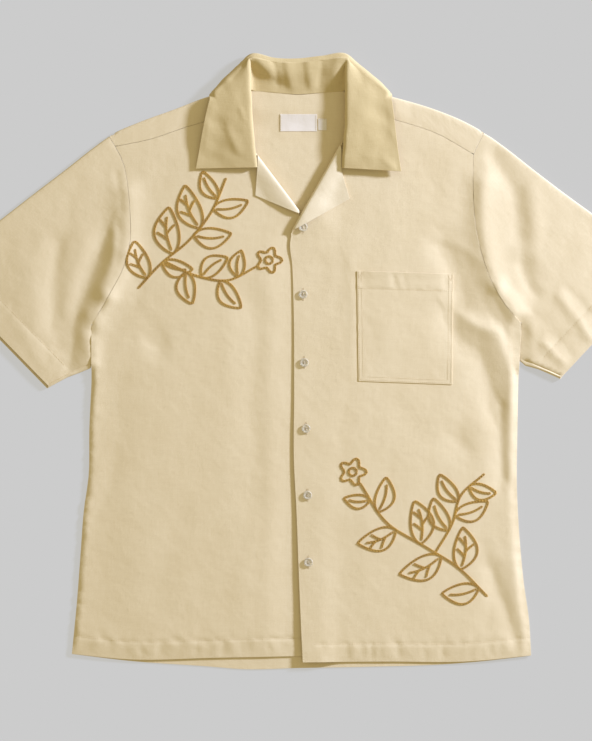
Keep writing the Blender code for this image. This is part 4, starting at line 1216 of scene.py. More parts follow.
    def place_front(self, flat: Array, side: Side) -> Array:
        """Places of a front's points, with the part past the roll line turned back as the lapel.

        Args:
            flat: Points of the cut piece.
            side: Which front.

        Returns:
            Where each lies.
        """
        past = self.past_roll(flat, side)
        angle = np.clip(past / self.lapel_radius, 0.0, math.pi)
        beyond = np.maximum(past - math.pi * self.lapel_radius, 0.0)
        across = np.where(past < 0, past, self.lapel_radius * np.sin(angle) - beyond)
        ground = flat + (across - past)[:, None] * self.roll_axes(side)[2]
        x, y = ground.T
        height = self.pile.front(x, y, side) + self.lapel_radius * (1 - np.cos(angle))
        height -= self.lapel_settle * between(beyond, *self.lapel_settle_over)
        height += self.lapel_rumple.heights(x, y) * between(beyond, *self.lapel_rumple_over)
        lying = between(past, *self.lying_over)
        for seam in self.seams[side]:
            height += seam.heights(ground) * lying
        from_hem = distance_to(ground, self.pile.hems[side])
        height += self.hem_step * between(from_hem, self.hem_band + 1, self.hem_band - 1)
        bent = self.hem_pucker.heights(x, y / 4) + creased(ground, self.hem_dents)
        height += bent * between(from_hem, *self.bent_from) * between(from_hem, *self.bent_to)
        height += self.rumple.heights(x, y) * lying
        return np.column_stack([ground, height])

    def back_half(self, side: Side) -> Array:
        """Cut outline of half of the back, from the underarm round the shoulder to the neck.

        Args:
            side: Which half.

        Returns:
            The outline.
        """
        pattern, inward = self.pattern, self.pattern.seam_half * side.value
        lower = self.below_turn(moved_aside(pattern.armhole(side), -inward))[::-1]
        top = self.below_turn(moved_aside(pattern.armhole_split(side)[0], -inward))
        seam = moved_aside(pattern.shoulder_seam(side), -inward)
        neck = curve(pattern.rolled_necks.of(side), pattern.neck_step)
        turned = [self.unrolled(finer(line, self.edge_step)) for line in (top, seam, neck)]
        arc = self.turn_column((lower[-1, 0] + top[0, 0]) / 2)
        bend = self.turn_column(neck[-1, 0])[:0:-1]
        return joined(lower, arc, turned[0], turned[1][1:], turned[2][1:], bend)

    def turn_column(self, x: float) -> Array:
        """Cut points of the back round its turn at one place along the shoulder."""
        shares = np.linspace(0.0, 1.0, self.turn_rows)
        return np.column_stack([np.full(len(shares), x), self.fold_start(x) + self.over * shares])

    def below_turn(self, line: Array) -> Array:
        """The part of an armhole line that lies below the back's turn, from the turn down."""
        close = finer(line, self.edge_step / 8)
        return close[close[:, 1] < self.fold_start(close[:, 0])][::8]

    def unrolled(self, ground: Array) -> Array:
        """Cut points of the back for points of its part that lies over the shoulder."""
        start = self.fold_start(ground[:, 0])
        return np.column_stack([ground[:, 0], 2 * start + self.over - ground[:, 1]])

    def back_panel(self) -> Panel:
        """The back, with its forward shoulders turned over and close points where it shows."""
        pattern = self.pattern
        left, right = self.back_half(Side.LEFT), self.back_half(Side.RIGHT)[::-1]
        outline = joined(
            curve(pattern.back_hem, pattern.back_hem_step)[:-1],
            pattern.side_seam(Side.LEFT)[::-1][:-1], left,
            curve(pattern.back_neck, self.edge_step), right, pattern.side_seam(Side.RIGHT)[1:-1],
        )
        rows = []
        for side in Side:
            xs = side.value * np.arange(*self.shoulder_reach, self.shoulder_column)
            for share in np.linspace(0.0, 1.0, self.turn_rows):
                row = np.column_stack([xs, self.fold_start(xs) + self.over * share])
                rows.append(clear_of(row, outline, 1.0))
        patches = [patch_line(corners, self.edge_step) for corners in (self.label_corners, self.tab_corners)]

        def shows(points: Array) -> Array:
            """Which points lie in the neck opening or over the shoulders."""
            x, y = points.T
            return ((abs(x) < self.opening_half) & (y > self.opening_from)) | (y > self.fold_start(x) - 4)

        return Panel(outline, self.back_step, self.place_back, rows, patches, shows)

    def front_panel(self, side: Side) -> Panel:
        """A front, with points along its roll, its seams and, on the left, the pocket's outline.

        Args:
            side: Which front.

        Returns:
            The panel.
        """
        pattern, step, inward = self.pattern, self.edge_step, self.pattern.seam_half * side.value
        armhole = moved_aside(pattern.armhole_split(side)[1], -inward)
        seam = moved_aside(pattern.shoulder_seam(side), inward)
        edge = pattern.lapel_edges.of(side)
        seam_side = finer(pattern.side_seam(side)[::-1], step)[1:-1]
        lap = between(seam_side[:, 1], *self.lap_above) * between(seam_side[:, 1], *self.lap_below)
        seam_side[:, 0] += side.value * self.underarm_lap * lap
        outline = joined(
            finer(pattern.front_hem(side), step),
            seam_side,
            finer(armhole[::-1], step),
            finer(seam, step)[1:],
            curve(pattern.front_necks.of(side), step)[1:],
            curve(edge, step)[1:],
            curve([edge[1], pattern.lapel_feet.of(side)], step)[1:],
            curve(pattern.front_edges.of(side), step)[:-1],
        )
        start, run, normal, _ = self.roll_axes(side)
        roll = start + np.arange(*self.roll_reach, step)[:, None] * run
        bend = math.pi * self.lapel_radius * np.linspace(0, 1, self.turn_rows)
        rows = [clear_of(roll + past * normal, outline)
                for past in (-self.facing_inside, *bend, self.row_past_roll)]
        line = even_points(self.hem_lines[side], step)
        rows += [clear_of(moved_aside(line, offset), outline) for offset in BESIDE_HEM]
        patches = [patch_line(self.pocket_corners, step)] if side is Side.LEFT else []

        def shows(points: Array) -> Array:
            """Which points aren't under the other front."""
            return (points[:, 0] < 2) | (points[:, 1] > 120) if side is Side.RIGHT else points[:, 0] > -100

        place = partial(self.place_front, side=side)
        return Panel(outline, self.front_step, place, rows, patches, shows)

    def make(self) -> None:
        back = self.panels["back"] = self.back_panel()
        thing = dressed(back.shell("back_cloth", self.cloth, -self.half, self.half), "shirt_cloth", "back")
        for name, corners, flat in (
            ("neck_label", self.label_corners, (0.0474, 0.022)),
            ("size_label", self.tab_corners, (0.0148, 0.0107)),
        ):
            inside = partial(is_inside, outline=patch_line(corners, self.edge_step))
            label = back.shell(f"{name}_tape", self.tape, self.ply - self.half, self.ply, inside)
            dressed(label, "label", name)
        for side in (Side.RIGHT, Side.LEFT):
            front = self.panels[side.word] = self.front_panel(side)
            thing = front.shell(f"front_{side.word}_cloth", self.cloth, -self.half, self.half)
            dressed(thing, "shirt_cloth", f"front_{side.word}")
            foot = self.facing_feet.of(side)
            facing = front.shell(
                f"facing_{side.word}_cloth", self.facing_cloth, -self.ply, -self.ply / 2,
                lambda at: (self.past_roll(at, side) > -self.facing_inside) & (at[:, 1] > foot),
            )
            dressed(facing, "facing_cloth", f"facing_{side.word}")
            half_area(facing)
        pocket = self.panels["pocket"] = self.pocket_panel()
        thing = pocket.shell("pocket_cloth", self.cloth, -self.pocket_half, self.pocket_half)
        dressed(thing, "shirt_cloth", "pocket")

    def pocket_line(self, inset: float) -> Array:
        """Line of sewing down one side of the pocket, along its bottom and up the other side.

        Args:
            inset: How far inside the pocket's edge.

        Returns:
            The line.
        """
        corners = np.array(self.pocket_corners, float)
        left, low, right = left_of(unit(np.diff(corners, axis=0))) * inset
        inner = [corners[0] + left, corners[1] + left + low, corners[2] + low + right, corners[3] + right]
        return finer(np.array(inner), self.pocket_row)

    def band_line(self) -> Array:
        """Line of sewing under the band along the pocket's top."""
        left_top, left_low, right_low, right_top = np.array(self.pocket_corners, float)
        left = left_top + unit(left_low - left_top) * self.pocket_band
        right = right_top + unit(right_low - right_top) * self.pocket_band
        ahead = unit(right - left) * self.band_line_end
        return finer(np.array([left + ahead, right - ahead]), self.pocket_row)

    def pocket_panel(self) -> Panel:
        """The pocket on the left front, with its band, its sewing drawn in and its dents."""
        front, band = self.panels["left"], self.band_line()
        outer, inner = self.pocket_insets
        seams = [
            Seam(self.pocket_line(outer), 0.3, 1.0, 0.1, 90),
            Seam(self.pocket_line(inner), 0.22, 1.0, 0.1, 91),
            Seam(band, 0.25, 1.0, 0.12, 92),
        ]
        top = np.array([self.pocket_corners[0], self.pocket_corners[3]], float)
        middle = (top[0, 0] + top[1, 0]) / 2

        def place(flat: Array) -> Array:
            """Places of the pocket's points, on the front.

            Args:
                flat: Points of the cut piece.

            Returns:
                Where each lies.
            """
            height = creased(flat, self.pocket_dents) + sum(seam.heights(flat) for seam in seams)
            from_top = distance_to(flat, top)
            height += self.hem_step * between(from_top, self.pocket_band + 0.8, self.pocket_band - 0.8)
            mid_mouth = between(from_top, 9.0, 0.0) * between(abs(flat[:, 0] - middle), 58, 40)
            height += self.mouth_gape * mid_mouth
            here, normals = front.seat(flat, 0.0)
            return here + normals * (self.ply + np.maximum(height, -0.1))[:, None]

        ring = patch_line(self.pocket_corners, self.pocket_row)
        insets = [inset + aside for inset in self.pocket_insets for aside in (-0.9, 0.0, 0.9)]
        lines = [self.pocket_line(inset) for inset in insets]
        lines += [moved_aside(band, aside) for aside in (-1.0, 0.0, 1.0)]
        return Panel(ring, self.pocket_step, place, [clear_of(line, ring, 0.4) for line in lines])


def half_area(thing: Thing) -> float:
    """Area of one face of a closed shell of cloth, in square metres."""
    return sum(face.area for face in thing.data.polygons) / 2


def dressed(thing: Thing, slot: str, *nodes: str) -> Thing:
    """Let a piece ride on the shirt and stand for nodes.

    Args:
        thing: The object.
        slot: Its slot; not used.
        nodes: The nodes that it stands for.

    Returns:
        The same object.
    """
    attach(thing, "root")
    if nodes:
        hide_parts(*nodes)
    log.info("%s: %d faces", thing.name, len(thing.data.polygons))
    return thing


@dataclass
class Sleeves:
    """The two short sleeves, each a flattened tube that is open at the armhole and the hem."""

    pile: Pile
    cloth: Finish
    half: float = 0.45
    step: float = 4.2
    edge_step: float = 4.0
    edge_roll: float = 1.85
    hem_band: float = 33.0
    hem_step: float = 0.3
    hem_shift_fade: float = 60.0
    rumple: Swell = Swell(0.12, 52, 9)
    groove_depth: float = 0.9
    groove_inset: float = 1.6
    groove_width: float = 0.9
    groove_rows: Sequence[float] = (0.9, 1.7, 2.8)
    groove_step: float = 3.0
    turn_rows: int = 7
    grain_depth: float = 9.0
    tip_clear: float = 6.0
    tuck_depth: Pair = Pair(0.3, 2.2)
    tuck_reach: float = 16.0
    tuck_shift: float = 2.2
    grains: Pair = Pair(0.86, -0.86)

    def __post_init__(self) -> None:
        """Start with no seat and no hem line of either sleeve."""
        self.seats: dict[Side, Callable] = {}
        self.hem_lines: dict[Side, Array] = {}

    def lines(self, side: Side) -> tuple[Array, Array, Array, Array]:
        """The armhole, the underarm, the hem and the shoulder of a sleeve's outline, in order round it.

        Args:
            side: Which sleeve.

        Returns:
            The four lines.
        """
        pattern, sign = self.pile.pattern, side.value
        inset = self.edge_roll + self.pile.cloth / 2
        armhole = moved_aside(pattern.armhole(side), pattern.seam_half * sign)
        hem = np.array(pattern.sleeve_hems.of(side), float)
        shoulder = pattern.shoulder()[:: 2 * sign]
        beyond = shoulder[:, 0] * sign > abs(armhole[0, 0]) + self.tip_clear
        short = shoulder[:, 0] * sign < abs(hem[0, 0]) - self.tip_clear
        shoulder = moved_aside(np.vstack([armhole[:1], shoulder[beyond & short], hem[:1]]), -inset * sign)
        under = moved_aside(curve(pattern.underarms.of(side), pattern.edge_step), inset * sign)
        hem_line = curve([tuple(under[-1]), tuple(shoulder[-1])], self.edge_step)
        armhole, under, shoulder = (finer(line, self.edge_step) for line in (armhole, under, shoulder))
        return armhole, under, hem_line, shoulder

    def sleeve(self, side: Side) -> None:
        """One sleeve: an upper and a lower layer, joined along the shoulder and the underarm.

        Args:
            side: Which sleeve.
        """
        pattern, sign = self.pile.pattern, side.value
        armhole, under, hem_line, shoulder = self.lines(side)
        outline = joined(armhole[1:-1], under, hem_line[1:-1], shoulder[::-1])
        turns = [under, shoulder[::-1]]
        if side is Side.RIGHT:
            outline, turns = outline[::-1], [line[::-1] for line in turns]
        hem = np.array(pattern.sleeve_hems.of(side), float)
        out = left_of(unit(hem[1] - hem[0])) * sign
        inner = hem_line - out * self.hem_band
        stitches = self.hem_lines[side] = inner[is_inside(inner, outline)]
        underarm = np.array(pattern.underarms.of(side), float)
        tucked = underarm[:3]
        under_edge = moved_aside(underarm[2:], (self.edge_roll + self.pile.cloth / 2) * sign)
        seams = [
            Seam(stitches, 0.3, 1.6, 0.2, 60 + sign),
            Seam(pattern.armhole(side), 0.15, 1.2, 0.1, 70 + sign),
            Seam(under, 0.0, 1.5, 0.3, 80 + sign),
        ]

        def place(flat: Array, level: float) -> Array:
            """Places of plan points at a level between the lower layer, 0, and the upper one, 1.

            Args:
                flat: Points in plan.
                level: From 0 to 1.

            Returns:
                Where each lies.
            """
            low = self.pile.lower(*flat.T)
            high = self.pile.upper(*flat.T, self.pile.sleeve_folds, self.pile.sleeve_creases)
            for seam in seams:
                high = high + seam.heights(flat)
            from_hem = distance_to(flat, hem_line)
            high += self.hem_step * between(from_hem, self.hem_band + 1, self.hem_band - 1)
            high += self.rumple.heights(*flat.T)
            near_body = between(distance_to(flat, tucked), self.tuck_reach, 2.0)
            high -= self.tuck_depth.of(side) * near_body
            in_groove = (distance_to(flat, under_edge) - self.groove_inset) / self.groove_width
            high -= self.groove_depth * np.exp(-(in_groove**2))
            near_hem = smooth(1 - from_hem / self.hem_shift_fade)[:, None]
            plan = flat + (1 - level) * pattern.lower_hem_shows.of(side) * near_hem * out
            plan[:, 0] -= level * self.tuck_shift * sign * near_body
            return np.column_stack([plan, low + (np.maximum(high, low + self.pile.ply) - low) * level])

        line = even_points(stitches, self.edge_step)
        rows = [clear_of(line + out * offset, outline) for offset in BESIDE_HEM]
        for inset in self.groove_rows:
            row = even_points(moved_aside(under_edge, inset * sign), self.groove_step)
            rows.append(clear_of(row, outline, 0.6))
        panel = Panel(outline, self.step, lambda flat: place(flat, 1.0), rows, turn=self.grains.of(side))
        self.seats[side] = panel.seat
        count = len(panel.flat)
        points = [panel.points, place(panel.flat, 0.0)]
        faces = [*panel.faces, *(panel.faces[:, ::-1] + count)]
        grains, total = [panel.grain, panel.grain + (0, 0, self.grain_depth)], 2 * count
        for line in turns:
            columns = np.array([int(np.argmin(np.linalg.norm(panel.flat - p, axis=1))) for p in line])
            outward = -left_of(unit(np.gradient(line, axis=0)))
            chains = [columns]
            for angle in np.linspace(0, math.pi, self.turn_rows)[1:-1]:
                arc = place(line, (1 + math.cos(angle)) / 2)
                arc[:, :2] += outward * self.edge_roll * math.sin(angle)
                points.append(arc)
                grains.append(panel.grain[columns] + (0, 0, self.grain_depth * angle / math.pi))
                chains.append(np.arange(total, total + len(line)))
                total += len(line)
            chains.append(columns + count)
            for upper, lower in zip(chains[:-1], chains[1:]):
                for i in range(len(line) - 1):
                    faces += [(upper[i + 1], upper[i], lower[i]), (upper[i + 1], lower[i], lower[i + 1])]
        points, faces = np.concatenate(points), np.array(faces)
        name, normals = f"sleeve_{side.word}", normals_of(points, faces)
        thing = shell(f"{name}_cloth", points, normals, faces, -self.half, self.half, self.cloth,
                      np.concatenate(grains))
        dressed(thing, "shirt_cloth", name)

    def make(self) -> None:
        """Both sleeves."""
        for side in (Side.RIGHT, Side.LEFT):
            self.sleeve(side)


class Station(NamedTuple):
    """One section of the collar: its neck seam, stand, crest and outer edge, and the turn under the edge."""

    neck_x: float
    neck_y: float
    neck_z: float
    stand_x: float
    stand_y: float
    crest_x: float
    crest_y: float
    crest_z: float
    edge_x: float
    edge_y: float
    edge_z: float
    behind: float
    turn: float


@dataclass
class Collar:
    """The open camp collar: its stand, roll, two leaves and the fall behind the back neck."""

    cloth: Finish
    half: float = 0.7
    rest: float = 0.8
    solid_half: float = 0.8
    sections: int = 190
    stand_steps: int = 12
    leaf_steps: int = 18
    fall_steps: int = 16
    rumple: Swell = Swell(0.28, 30, 21)
    ground_gap: float = 0.25
    stations: Sequence[Station] = tuple(Station(*row) for row in (
        (-55.3, 246, 8.8, -55.2, 246, -58.7, 245.8, 11, -132.8, 244.5, 7.6, 9, 0),
        (-56.6, 264, 8, -56.4, 264, -60.4, 264, 13, -128.3, 268, 9.8, 9, 0),
        (-63, 281.5, 6.6, -58.2, 283.5, -62.6, 284, 14.6, -123.6, 294, 12.6, 9, 0),
        (-68, 300, 6.6, -60.2, 306, -65, 308, 15.6, -118.8, 317, 14.2, 9, 0),
        (-71, 321, 8.4, -61.6, 330, -65.8, 331.5, 16, -114.3, 334, 14.4, 9, 0),
        (-70.2, 328, 8.4, -62, 340, -66, 341, 15.8, -110.6, 343.2, 13.6, 3, 90),
        (-69, 333.5, 8.4, -62.4, 350, -66.4, 351.5, 15.6, -105, 351.4, 13, 6, 180),
        (-67, 339.5, 8.4, -62.8, 366.5, -66.3, 368, 15, -92, 364.8, 12.4, 20, 180),
        (-64.8, 346.5, 8.2, -63, 379.5, -66, 382, 14.2, -77, 379.4, 11.8, 36, 180),
        (-58.5, 344.4, 3, -58.6, 374, -59.4, 384.8, 12.6, -61, 392.4, 12.2, 58, 180),
        (-32, 342.2, 2.8, -32, 362.5, -32, 380, 11.4, -32.5, 387.2, 11.2, 61, 180),
        (-2, 339.8, 2.8, -2, 359, -2, 379.2, 10.8, -2, 386.4, 10.6, 60, 180),
        (28, 341.8, 2.8, 28, 361.5, 28, 382.2, 11.4, 28, 389.5, 11.2, 60, 180),
        (54.8, 343.6, 3, 55.4, 372, 56.6, 384.8, 12.6, 58.6, 392.4, 12.2, 58, 180),
        (62.2, 346.3, 8.2, 59.5, 378, 62.6, 380.5, 14.2, 75.8, 379.2, 11.8, 36, 180),
        (64.4, 339.5, 8.4, 59.5, 365.5, 63, 367, 15, 92.4, 365.2, 12, 20, 180),
        (67.4, 333.5, 8.4, 59.4, 350, 63.2, 351.5, 15.4, 108, 351.4, 12, 6, 180),
        (69.4, 328, 8.4, 59.2, 340, 63.3, 341, 15.6, 113.9, 343.3, 12.2, 3, 90),
        (70.6, 321, 8.4, 59, 330, 63.4, 331.5, 15.8, 117.4, 334, 12.5, 9, 0),
        (66.6, 300, 6.6, 58, 306, 62.8, 308, 15.4, 120, 317, 12.2, 9, 0),
        (59.4, 281.5, 7, 57, 283.5, 61.5, 284, 14.6, 122.8, 294, 11.8, 9, 0),
        (55.4, 262, 8.8, 55.8, 262.3, 60, 262.3, 13.4, 125.9, 268, 11.6, 9, 0),
        (55.3, 245.2, 8.8, 55.2, 245.2, 58.5, 245, 11.6, 130, 240.8, 11.4, 9, 0),
    ))
    stand_dents: Sequence[Crease] = creases(
        (((-19, 398), (-17, 376), (-11, 350)), 3.8, -1.3, 2.4),
        (((9.5, 398), (10.5, 374), (14, 350)), 3.6, -1.3, 2.6),
        (((30, 398), (28, 374), (25, 352)), 4, 0.7, 1.2),
        (((-60, 394), (-50, 380), (-38, 366)), 5.5, -1.8, 1.8),
        (((-37, 396), (-31, 374), (-27, 354)), 5, 1, 0.7),
        (((52, 390), (47, 372), (43, 352)), 9, -2.6, 1.6),
    )
    leaf_dents: Sequence[Crease] = creases(
        (((-92, 296), (-86, 282), (-80, 268)), 4.5, -0.9, 1.5), (((-74, 318), (-70, 308)), 4, -0.7),
        (((-104, 312), (-100, 288), (-106, 262)), 9, 0.5, 1.3), (((-118, 300), (-120, 270)), 6, -0.35),
        (((107, 258), (116, 248)), 5, -0.8, 1.4), (((84, 312), (92, 286), (90, 262)), 8, -0.5, 1.5),
        (((106, 318), (110, 292)), 8, 0.45), (((-92, 356), (-84, 338)), 7, -0.5),
        (((90, 352), (86, 330)), 8, -0.45, 1.4), (((74, 372), (80, 356)), 5, 0.4),
        (((-78, 374), (-86, 360)), 5, 0.4),
    )

    def section(self, row: Station, side_way: Array) -> Array:
        """Points of one section of the collar's middle surface.

        Args:
            row: The section's sizes.
            side_way: The level direction across the outer edge.

        Returns:
            The points from the neck seam, over the roll, to the outer edge.
        """
        neck = np.array([row.neck_x, row.neck_y, row.neck_z])
        crest = np.array([row.crest_x, row.crest_y, row.crest_z])
        edge, stand = np.array([row.edge_x, row.edge_y]), np.array([row.stand_x, row.stand_y])
        pull = (stand - (neck[:2] + crest[:2]) / 8) / 0.75
        first = np.array([*pull, neck[2] + 0.12 * (crest[2] - neck[2])])
        second = np.array([*pull, crest[2]])
        t = np.linspace(0.0, 1.0, self.stand_steps + 1)[:, None]
        points = [(1 - t) ** 3 * neck + 3 * t * (1 - t) ** 2 * first
                  + 3 * t * t * (1 - t) * second + t**3 * crest]
        ahead = unit(edge - crest[:2])
        turned = row.turn / 180.0
        out = unit((1 - turned) * ahead + turned * side_way)
        aside = -left_of(out)
        aside *= 1.0 if aside @ ahead >= 0 else -1.0
        facing = ahead @ out
        radius = (row.edge_z - self.rest) / 2
        lead = (1 - turned) * row.behind + turned * (radius + self.solid_half) / facing
        start = edge - ahead * lead
        t = np.linspace(0.0, 1.0, self.leaf_steps + 1)[1:, None]
        plan = crest[:2] + (start - crest[:2]) * t
        points.append(np.hstack([plan, crest[2] + (row.edge_z - crest[2]) * smooth(t)]))
        bend = math.radians(row.turn)
        length = radius * bend / facing + row.behind
        gone = np.linspace(0.0, 1.0, self.fall_steps + 1)[1:] * length
        over = gone * facing
        arc = np.minimum(over, radius * bend)
        reach = radius * np.sin(arc / radius) + (over - arc) * math.cos(bend)
        drop = radius * (1 - np.cos(arc / radius)) + (over - arc) * math.sin(bend)
        plan = start + np.outer(gone * (ahead @ aside), aside) + np.outer(reach, out)
        points.append(np.column_stack([plan, np.maximum(row.edge_z - drop, self.rest)]))
        return np.concatenate(points)

    def make(self) -> None:
        """The collar as one shell through its stations, with its dents."""
        table = np.array(self.stations, float)
        names = Station._fields
        plan = slice(names.index("edge_x"), names.index("edge_z"))
        along = chord_lengths(table[:, plan])
        at = np.linspace(0.0, along[-1], self.sections)
        rows = on_spline(table, along, at)
        for name in ("behind", "turn"):
            rows[:, names.index(name)] = np.interp(at, along, table[:, names.index(name)])
        ways = left_of(unit(np.gradient(rows[:, plan], axis=0)))
        rings = np.array([self.section(Station(*row), way) for row, way in zip(rows, ways)])
        count = rings.shape[1]
        points = rings.reshape(-1, 3)
        part = np.tile(np.arange(count), len(rings))
        quad = np.arange(len(rings) - 1)[:, None] * count + np.arange(count - 1)[None]
        a = quad.ravel()
        faces = np.concatenate([
            np.stack([a, a + 1, a + 1 + count], axis=1), np.stack([a, a + 1 + count, a + count], axis=1)])
        normals = normals_of(points, faces)
        leaf_end = self.stand_steps + self.leaf_steps
        off_seam = between(part, 0, 3)
        on_stand = off_seam * between(part, self.stand_steps + 2, self.stand_steps - 3)
        on_leaf = between(part, self.stand_steps, self.stand_steps + 4)
        on_leaf = on_leaf * between(part, count + 2, leaf_end - 2)
        inner = off_seam * between(part, leaf_end - 2, self.stand_steps)
        flat = points[:, :2]
        swell = creased(flat, self.stand_dents) * inner + creased(flat, self.leaf_dents) * on_leaf
        swell += self.rumple.heights(*flat.T) * (on_leaf + on_stand)
        points = points + normals * swell[:, None]
        points[:, 2] = np.maximum(points[:, 2], self.half + self.ground_gap)
        lengths = np.array([chord_lengths(ring) for ring in rings])
        grain = np.column_stack([np.repeat(at, count), lengths.ravel(), np.zeros(len(points))])
        thing = shell("collar_cloth", points, normals_of(points, faces), faces, -self.half, self.half,
                      self.cloth, grain)
        dressed(thing, "collar_cloth", "collar")
        area = min(half_area(thing), 0.06)


@dataclass
class Buttons:
    """Six pearly buttons of four holes, with their thread and their buttonholes."""

    front: Panel
    pearl: Finish
    thread: Finish
    places: Points = ((4.5, 169.8), (4.5, 84), (6, -3.3), (8.2, -87.7), (10.2, -172.8), (11.3, -258.6))
    cloth_half: float = 0.5
    hole: float = 0.7
    hole_from_axis: float = 1.35
    slit: float = 13.5
    rings: Sequence[float] = (1.2, 2.0, 2.7, 3.3, 3.9, 4.4, 5.0, 5.45, 5.7)
    profile: Points = (
        (0.0, 1.45), (2.7, 1.45), (3.3, 1.6), (3.9, 2.0), (4.4, 2.18), (5.0, 2.12), (5.45, 1.8), (5.7, 1.2),
    )
    base: Points = ((0.0, 0.0), (4.3, 0.0), (5.3, 0.45), (5.7, 1.0))
    sides: int = 40
    hole_sides: int = 14
    hole_room: float = 0.25
    sharp_from: float = 50.0
    strands: Sequence[float] = (-0.28, 0.0, 0.28)
    strand_radius: float = 0.2
    strand_bow: float = 0.3
    slit_stitches: int = 34
    slit_stitch: Span = (1.35, 0.25)
    bar_stitches: int = 7
    bar_half: float = 1.2
    bar_stitch: Span = (0.2, 1.5)
    stitch_bow: float = 0.03

    def button(self, name: str, middle: Array, turn: float) -> None:
        """One button, dished inside a round rim.

        Args:
            name: Its node.
            middle: Where its middle lies, and the height of its underside.
            turn: The angle that its holes are turned by.
        """
        rings = [on_circle(radius, self.sides) for radius in self.rings]
        holes = []
        for quarter in range(4):
            angle = turn + math.pi / 4 + quarter * math.pi / 2
            way = np.array([math.cos(angle), math.sin(angle)])
            holes.append(self.hole_from_axis * way + on_circle(self.hole, self.hole_sides))
        kept = []
        for ring in rings[:-1]:
            clear = np.ones(len(ring), bool)
            for hole in holes:
                clear &= distance_to(ring, closed(hole)) > self.hole_room
                clear &= ~is_inside(ring, hole)
            kept.append(ring[clear])
        lines = [rings[-1], *holes]
        flat, faces = filled(lines, [True] * len(lines), np.concatenate([*kept, [[0.0, 0.0]]]))
        for hole in holes:
            faces = faces[~is_inside(flat[faces].mean(axis=1), hole)]
        reach = np.linalg.norm(flat, axis=1)
        count = len(flat)
        layers = [np.column_stack([flat, np.interp(reach, *zip(*heights))]) + middle
                  for heights in (self.profile, self.base)]
        walls = [(b, a, a + count, b + count) for a, b in rim_of(faces)]
        solid = [*faces, *(faces[:, ::-1] + count), *walls]
        thing = mesh_piece(f"{name}_pearl", np.concatenate(layers), solid, self.pearl, sharp=self.sharp_from)
        dressed(thing, "button", name)

    def sew(self, sewing: Sewing, middle: Array, turn: float) -> None:
        """Thread through a button's holes, and the stitches round its buttonhole.

        Args:
            sewing: Where the stitches are gathered.
            middle: Where the button's middle lies, and the height of its underside.
            turn: The angle that its holes are turned by.
        """
        x, y, _ = middle
        along = np.array([math.cos(turn), math.sin(turn), 0.0])
        reach = self.hole_from_axis * math.sin(math.pi / 4)
        up = np.array([[0.0, 0.0, 1.0]])
        top = middle + self.profile[0][1] * up
        for side in (-1, 1):
            for strand in self.strands:
                out = (side * reach + strand) * np.cross(up, along)
                ends = [top + way * reach * along + out for way in (-1, 1)]
                sewing.parts.append(thread_runs(*ends, up, self.strand_radius, self.strand_bow))
        half, count = self.slit / 2, self.slit_stitches
        marks = y + np.linspace(-half, half, count)
        for side in (-1, 1):
            rows = [np.column_stack([np.full(count, x + side * at), marks]) for at in self.slit_stitch]
            self.sew_rows(sewing, rows, 0.12)
        marks = x + np.linspace(-self.bar_half, self.bar_half, self.bar_stitches)
        for way in (-1, 1):
            rows = [np.column_stack([marks, np.full(len(marks), y + way * (half + at))])
                    for at in self.bar_stitch]
            self.sew_rows(sewing, rows, 0.13)

    def sew_rows(self, sewing: Sewing, rows: Sequence[Array], radius: float) -> None:
        """Threads from each place of one row on the front to that of another."""
        (starts, normals), (ends, _) = (self.front.seat(row, self.cloth_half) for row in rows)
        sewing.parts.append(thread_runs(starts, ends, normals, radius, self.stitch_bow))

    def make(self) -> None:
        """The buttons and one piece for their sewing."""
        sewing = Sewing("button_thread", self.thread)
        for number, (x, y) in enumerate(self.places, start=1):
            name, turn = f"button_{number}", 0.35 * math.sin(2.3 * number)
            middle = np.array([x, y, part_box(name)[0].z / MM])
            self.button(name, middle, turn)
            self.sew(sewing, middle, turn)
        dressed(sewing.make(), "shirt_cloth")


# Embroidered leaves longer than this have side ribs
RIBS_FROM = 49.0


class Leaf(NamedTuple):
    """A leaf on a sprig: its place along the stem, its angle to it in degrees, its length and half width."""

    share: float
    angle: float
    length: float
    half: float


class Sprig(NamedTuple):
    """A stem of line embroidery with leaves, and a blossom of a radius at its end where that isn't 0."""

    stem: Points
    leaves: Sequence[Leaf]
    blossom: float = 0.0

    def lines(self) -> list[Array]:
        """The lines that are embroidered: stem, leaves with their ribs, and blossom."""
        stem = curve(self.stem, 3.0)
        found = [stem]
        for leaf in self.leaves:
            at = min(int(leaf.share * (len(stem) - 1)), len(stem) - 2)
            ahead = stem[at + 1] - stem[at]
            heading = math.atan2(ahead[1], ahead[0]) + math.radians(leaf.angle)
            way = np.array([math.cos(heading), math.sin(heading)])
            aside = left_of(way)
            t = np.linspace(0.0, 1.0, 24)
            sweep = 0.10 * leaf.length * np.sin(math.pi * t) * np.sign(leaf.angle)
            spread = leaf.half * np.sin(math.pi * t**0.85) ** 0.85
            middle = stem[at] + np.outer(t * leaf.length, way) + np.outer(sweep, aside)
            ring = np.vstack([middle + np.outer(spread, aside), (middle - np.outer(spread, aside))[-2::-1]])
            found += [ring, middle[2:-5]]
            for rib, side in ((7, 1), (10, -1), (13, 1)) if leaf.length > RIBS_FROM else ():
                tip = middle[rib + 4] + side * spread[rib + 4] * 0.72 * aside
                found.append(np.array([middle[rib], (middle[rib] + tip) / 2 + way * 0.6, tip]))
        if self.blossom:
            angles = np.linspace(0.0, math.tau, 60)
            middle = stem[-1] + unit(stem[-1] - stem[-3]) * self.blossom
            reach = self.blossom * (0.78 + 0.22 * np.cos(5 * angles))
            found.append(middle + np.column_stack([reach * np.cos(angles), reach * np.sin(angles)]))
            core = angles[::4]
            found.append(middle + self.blossom * 0.3 * np.column_stack([np.cos(core), np.sin(core)]))
        return found


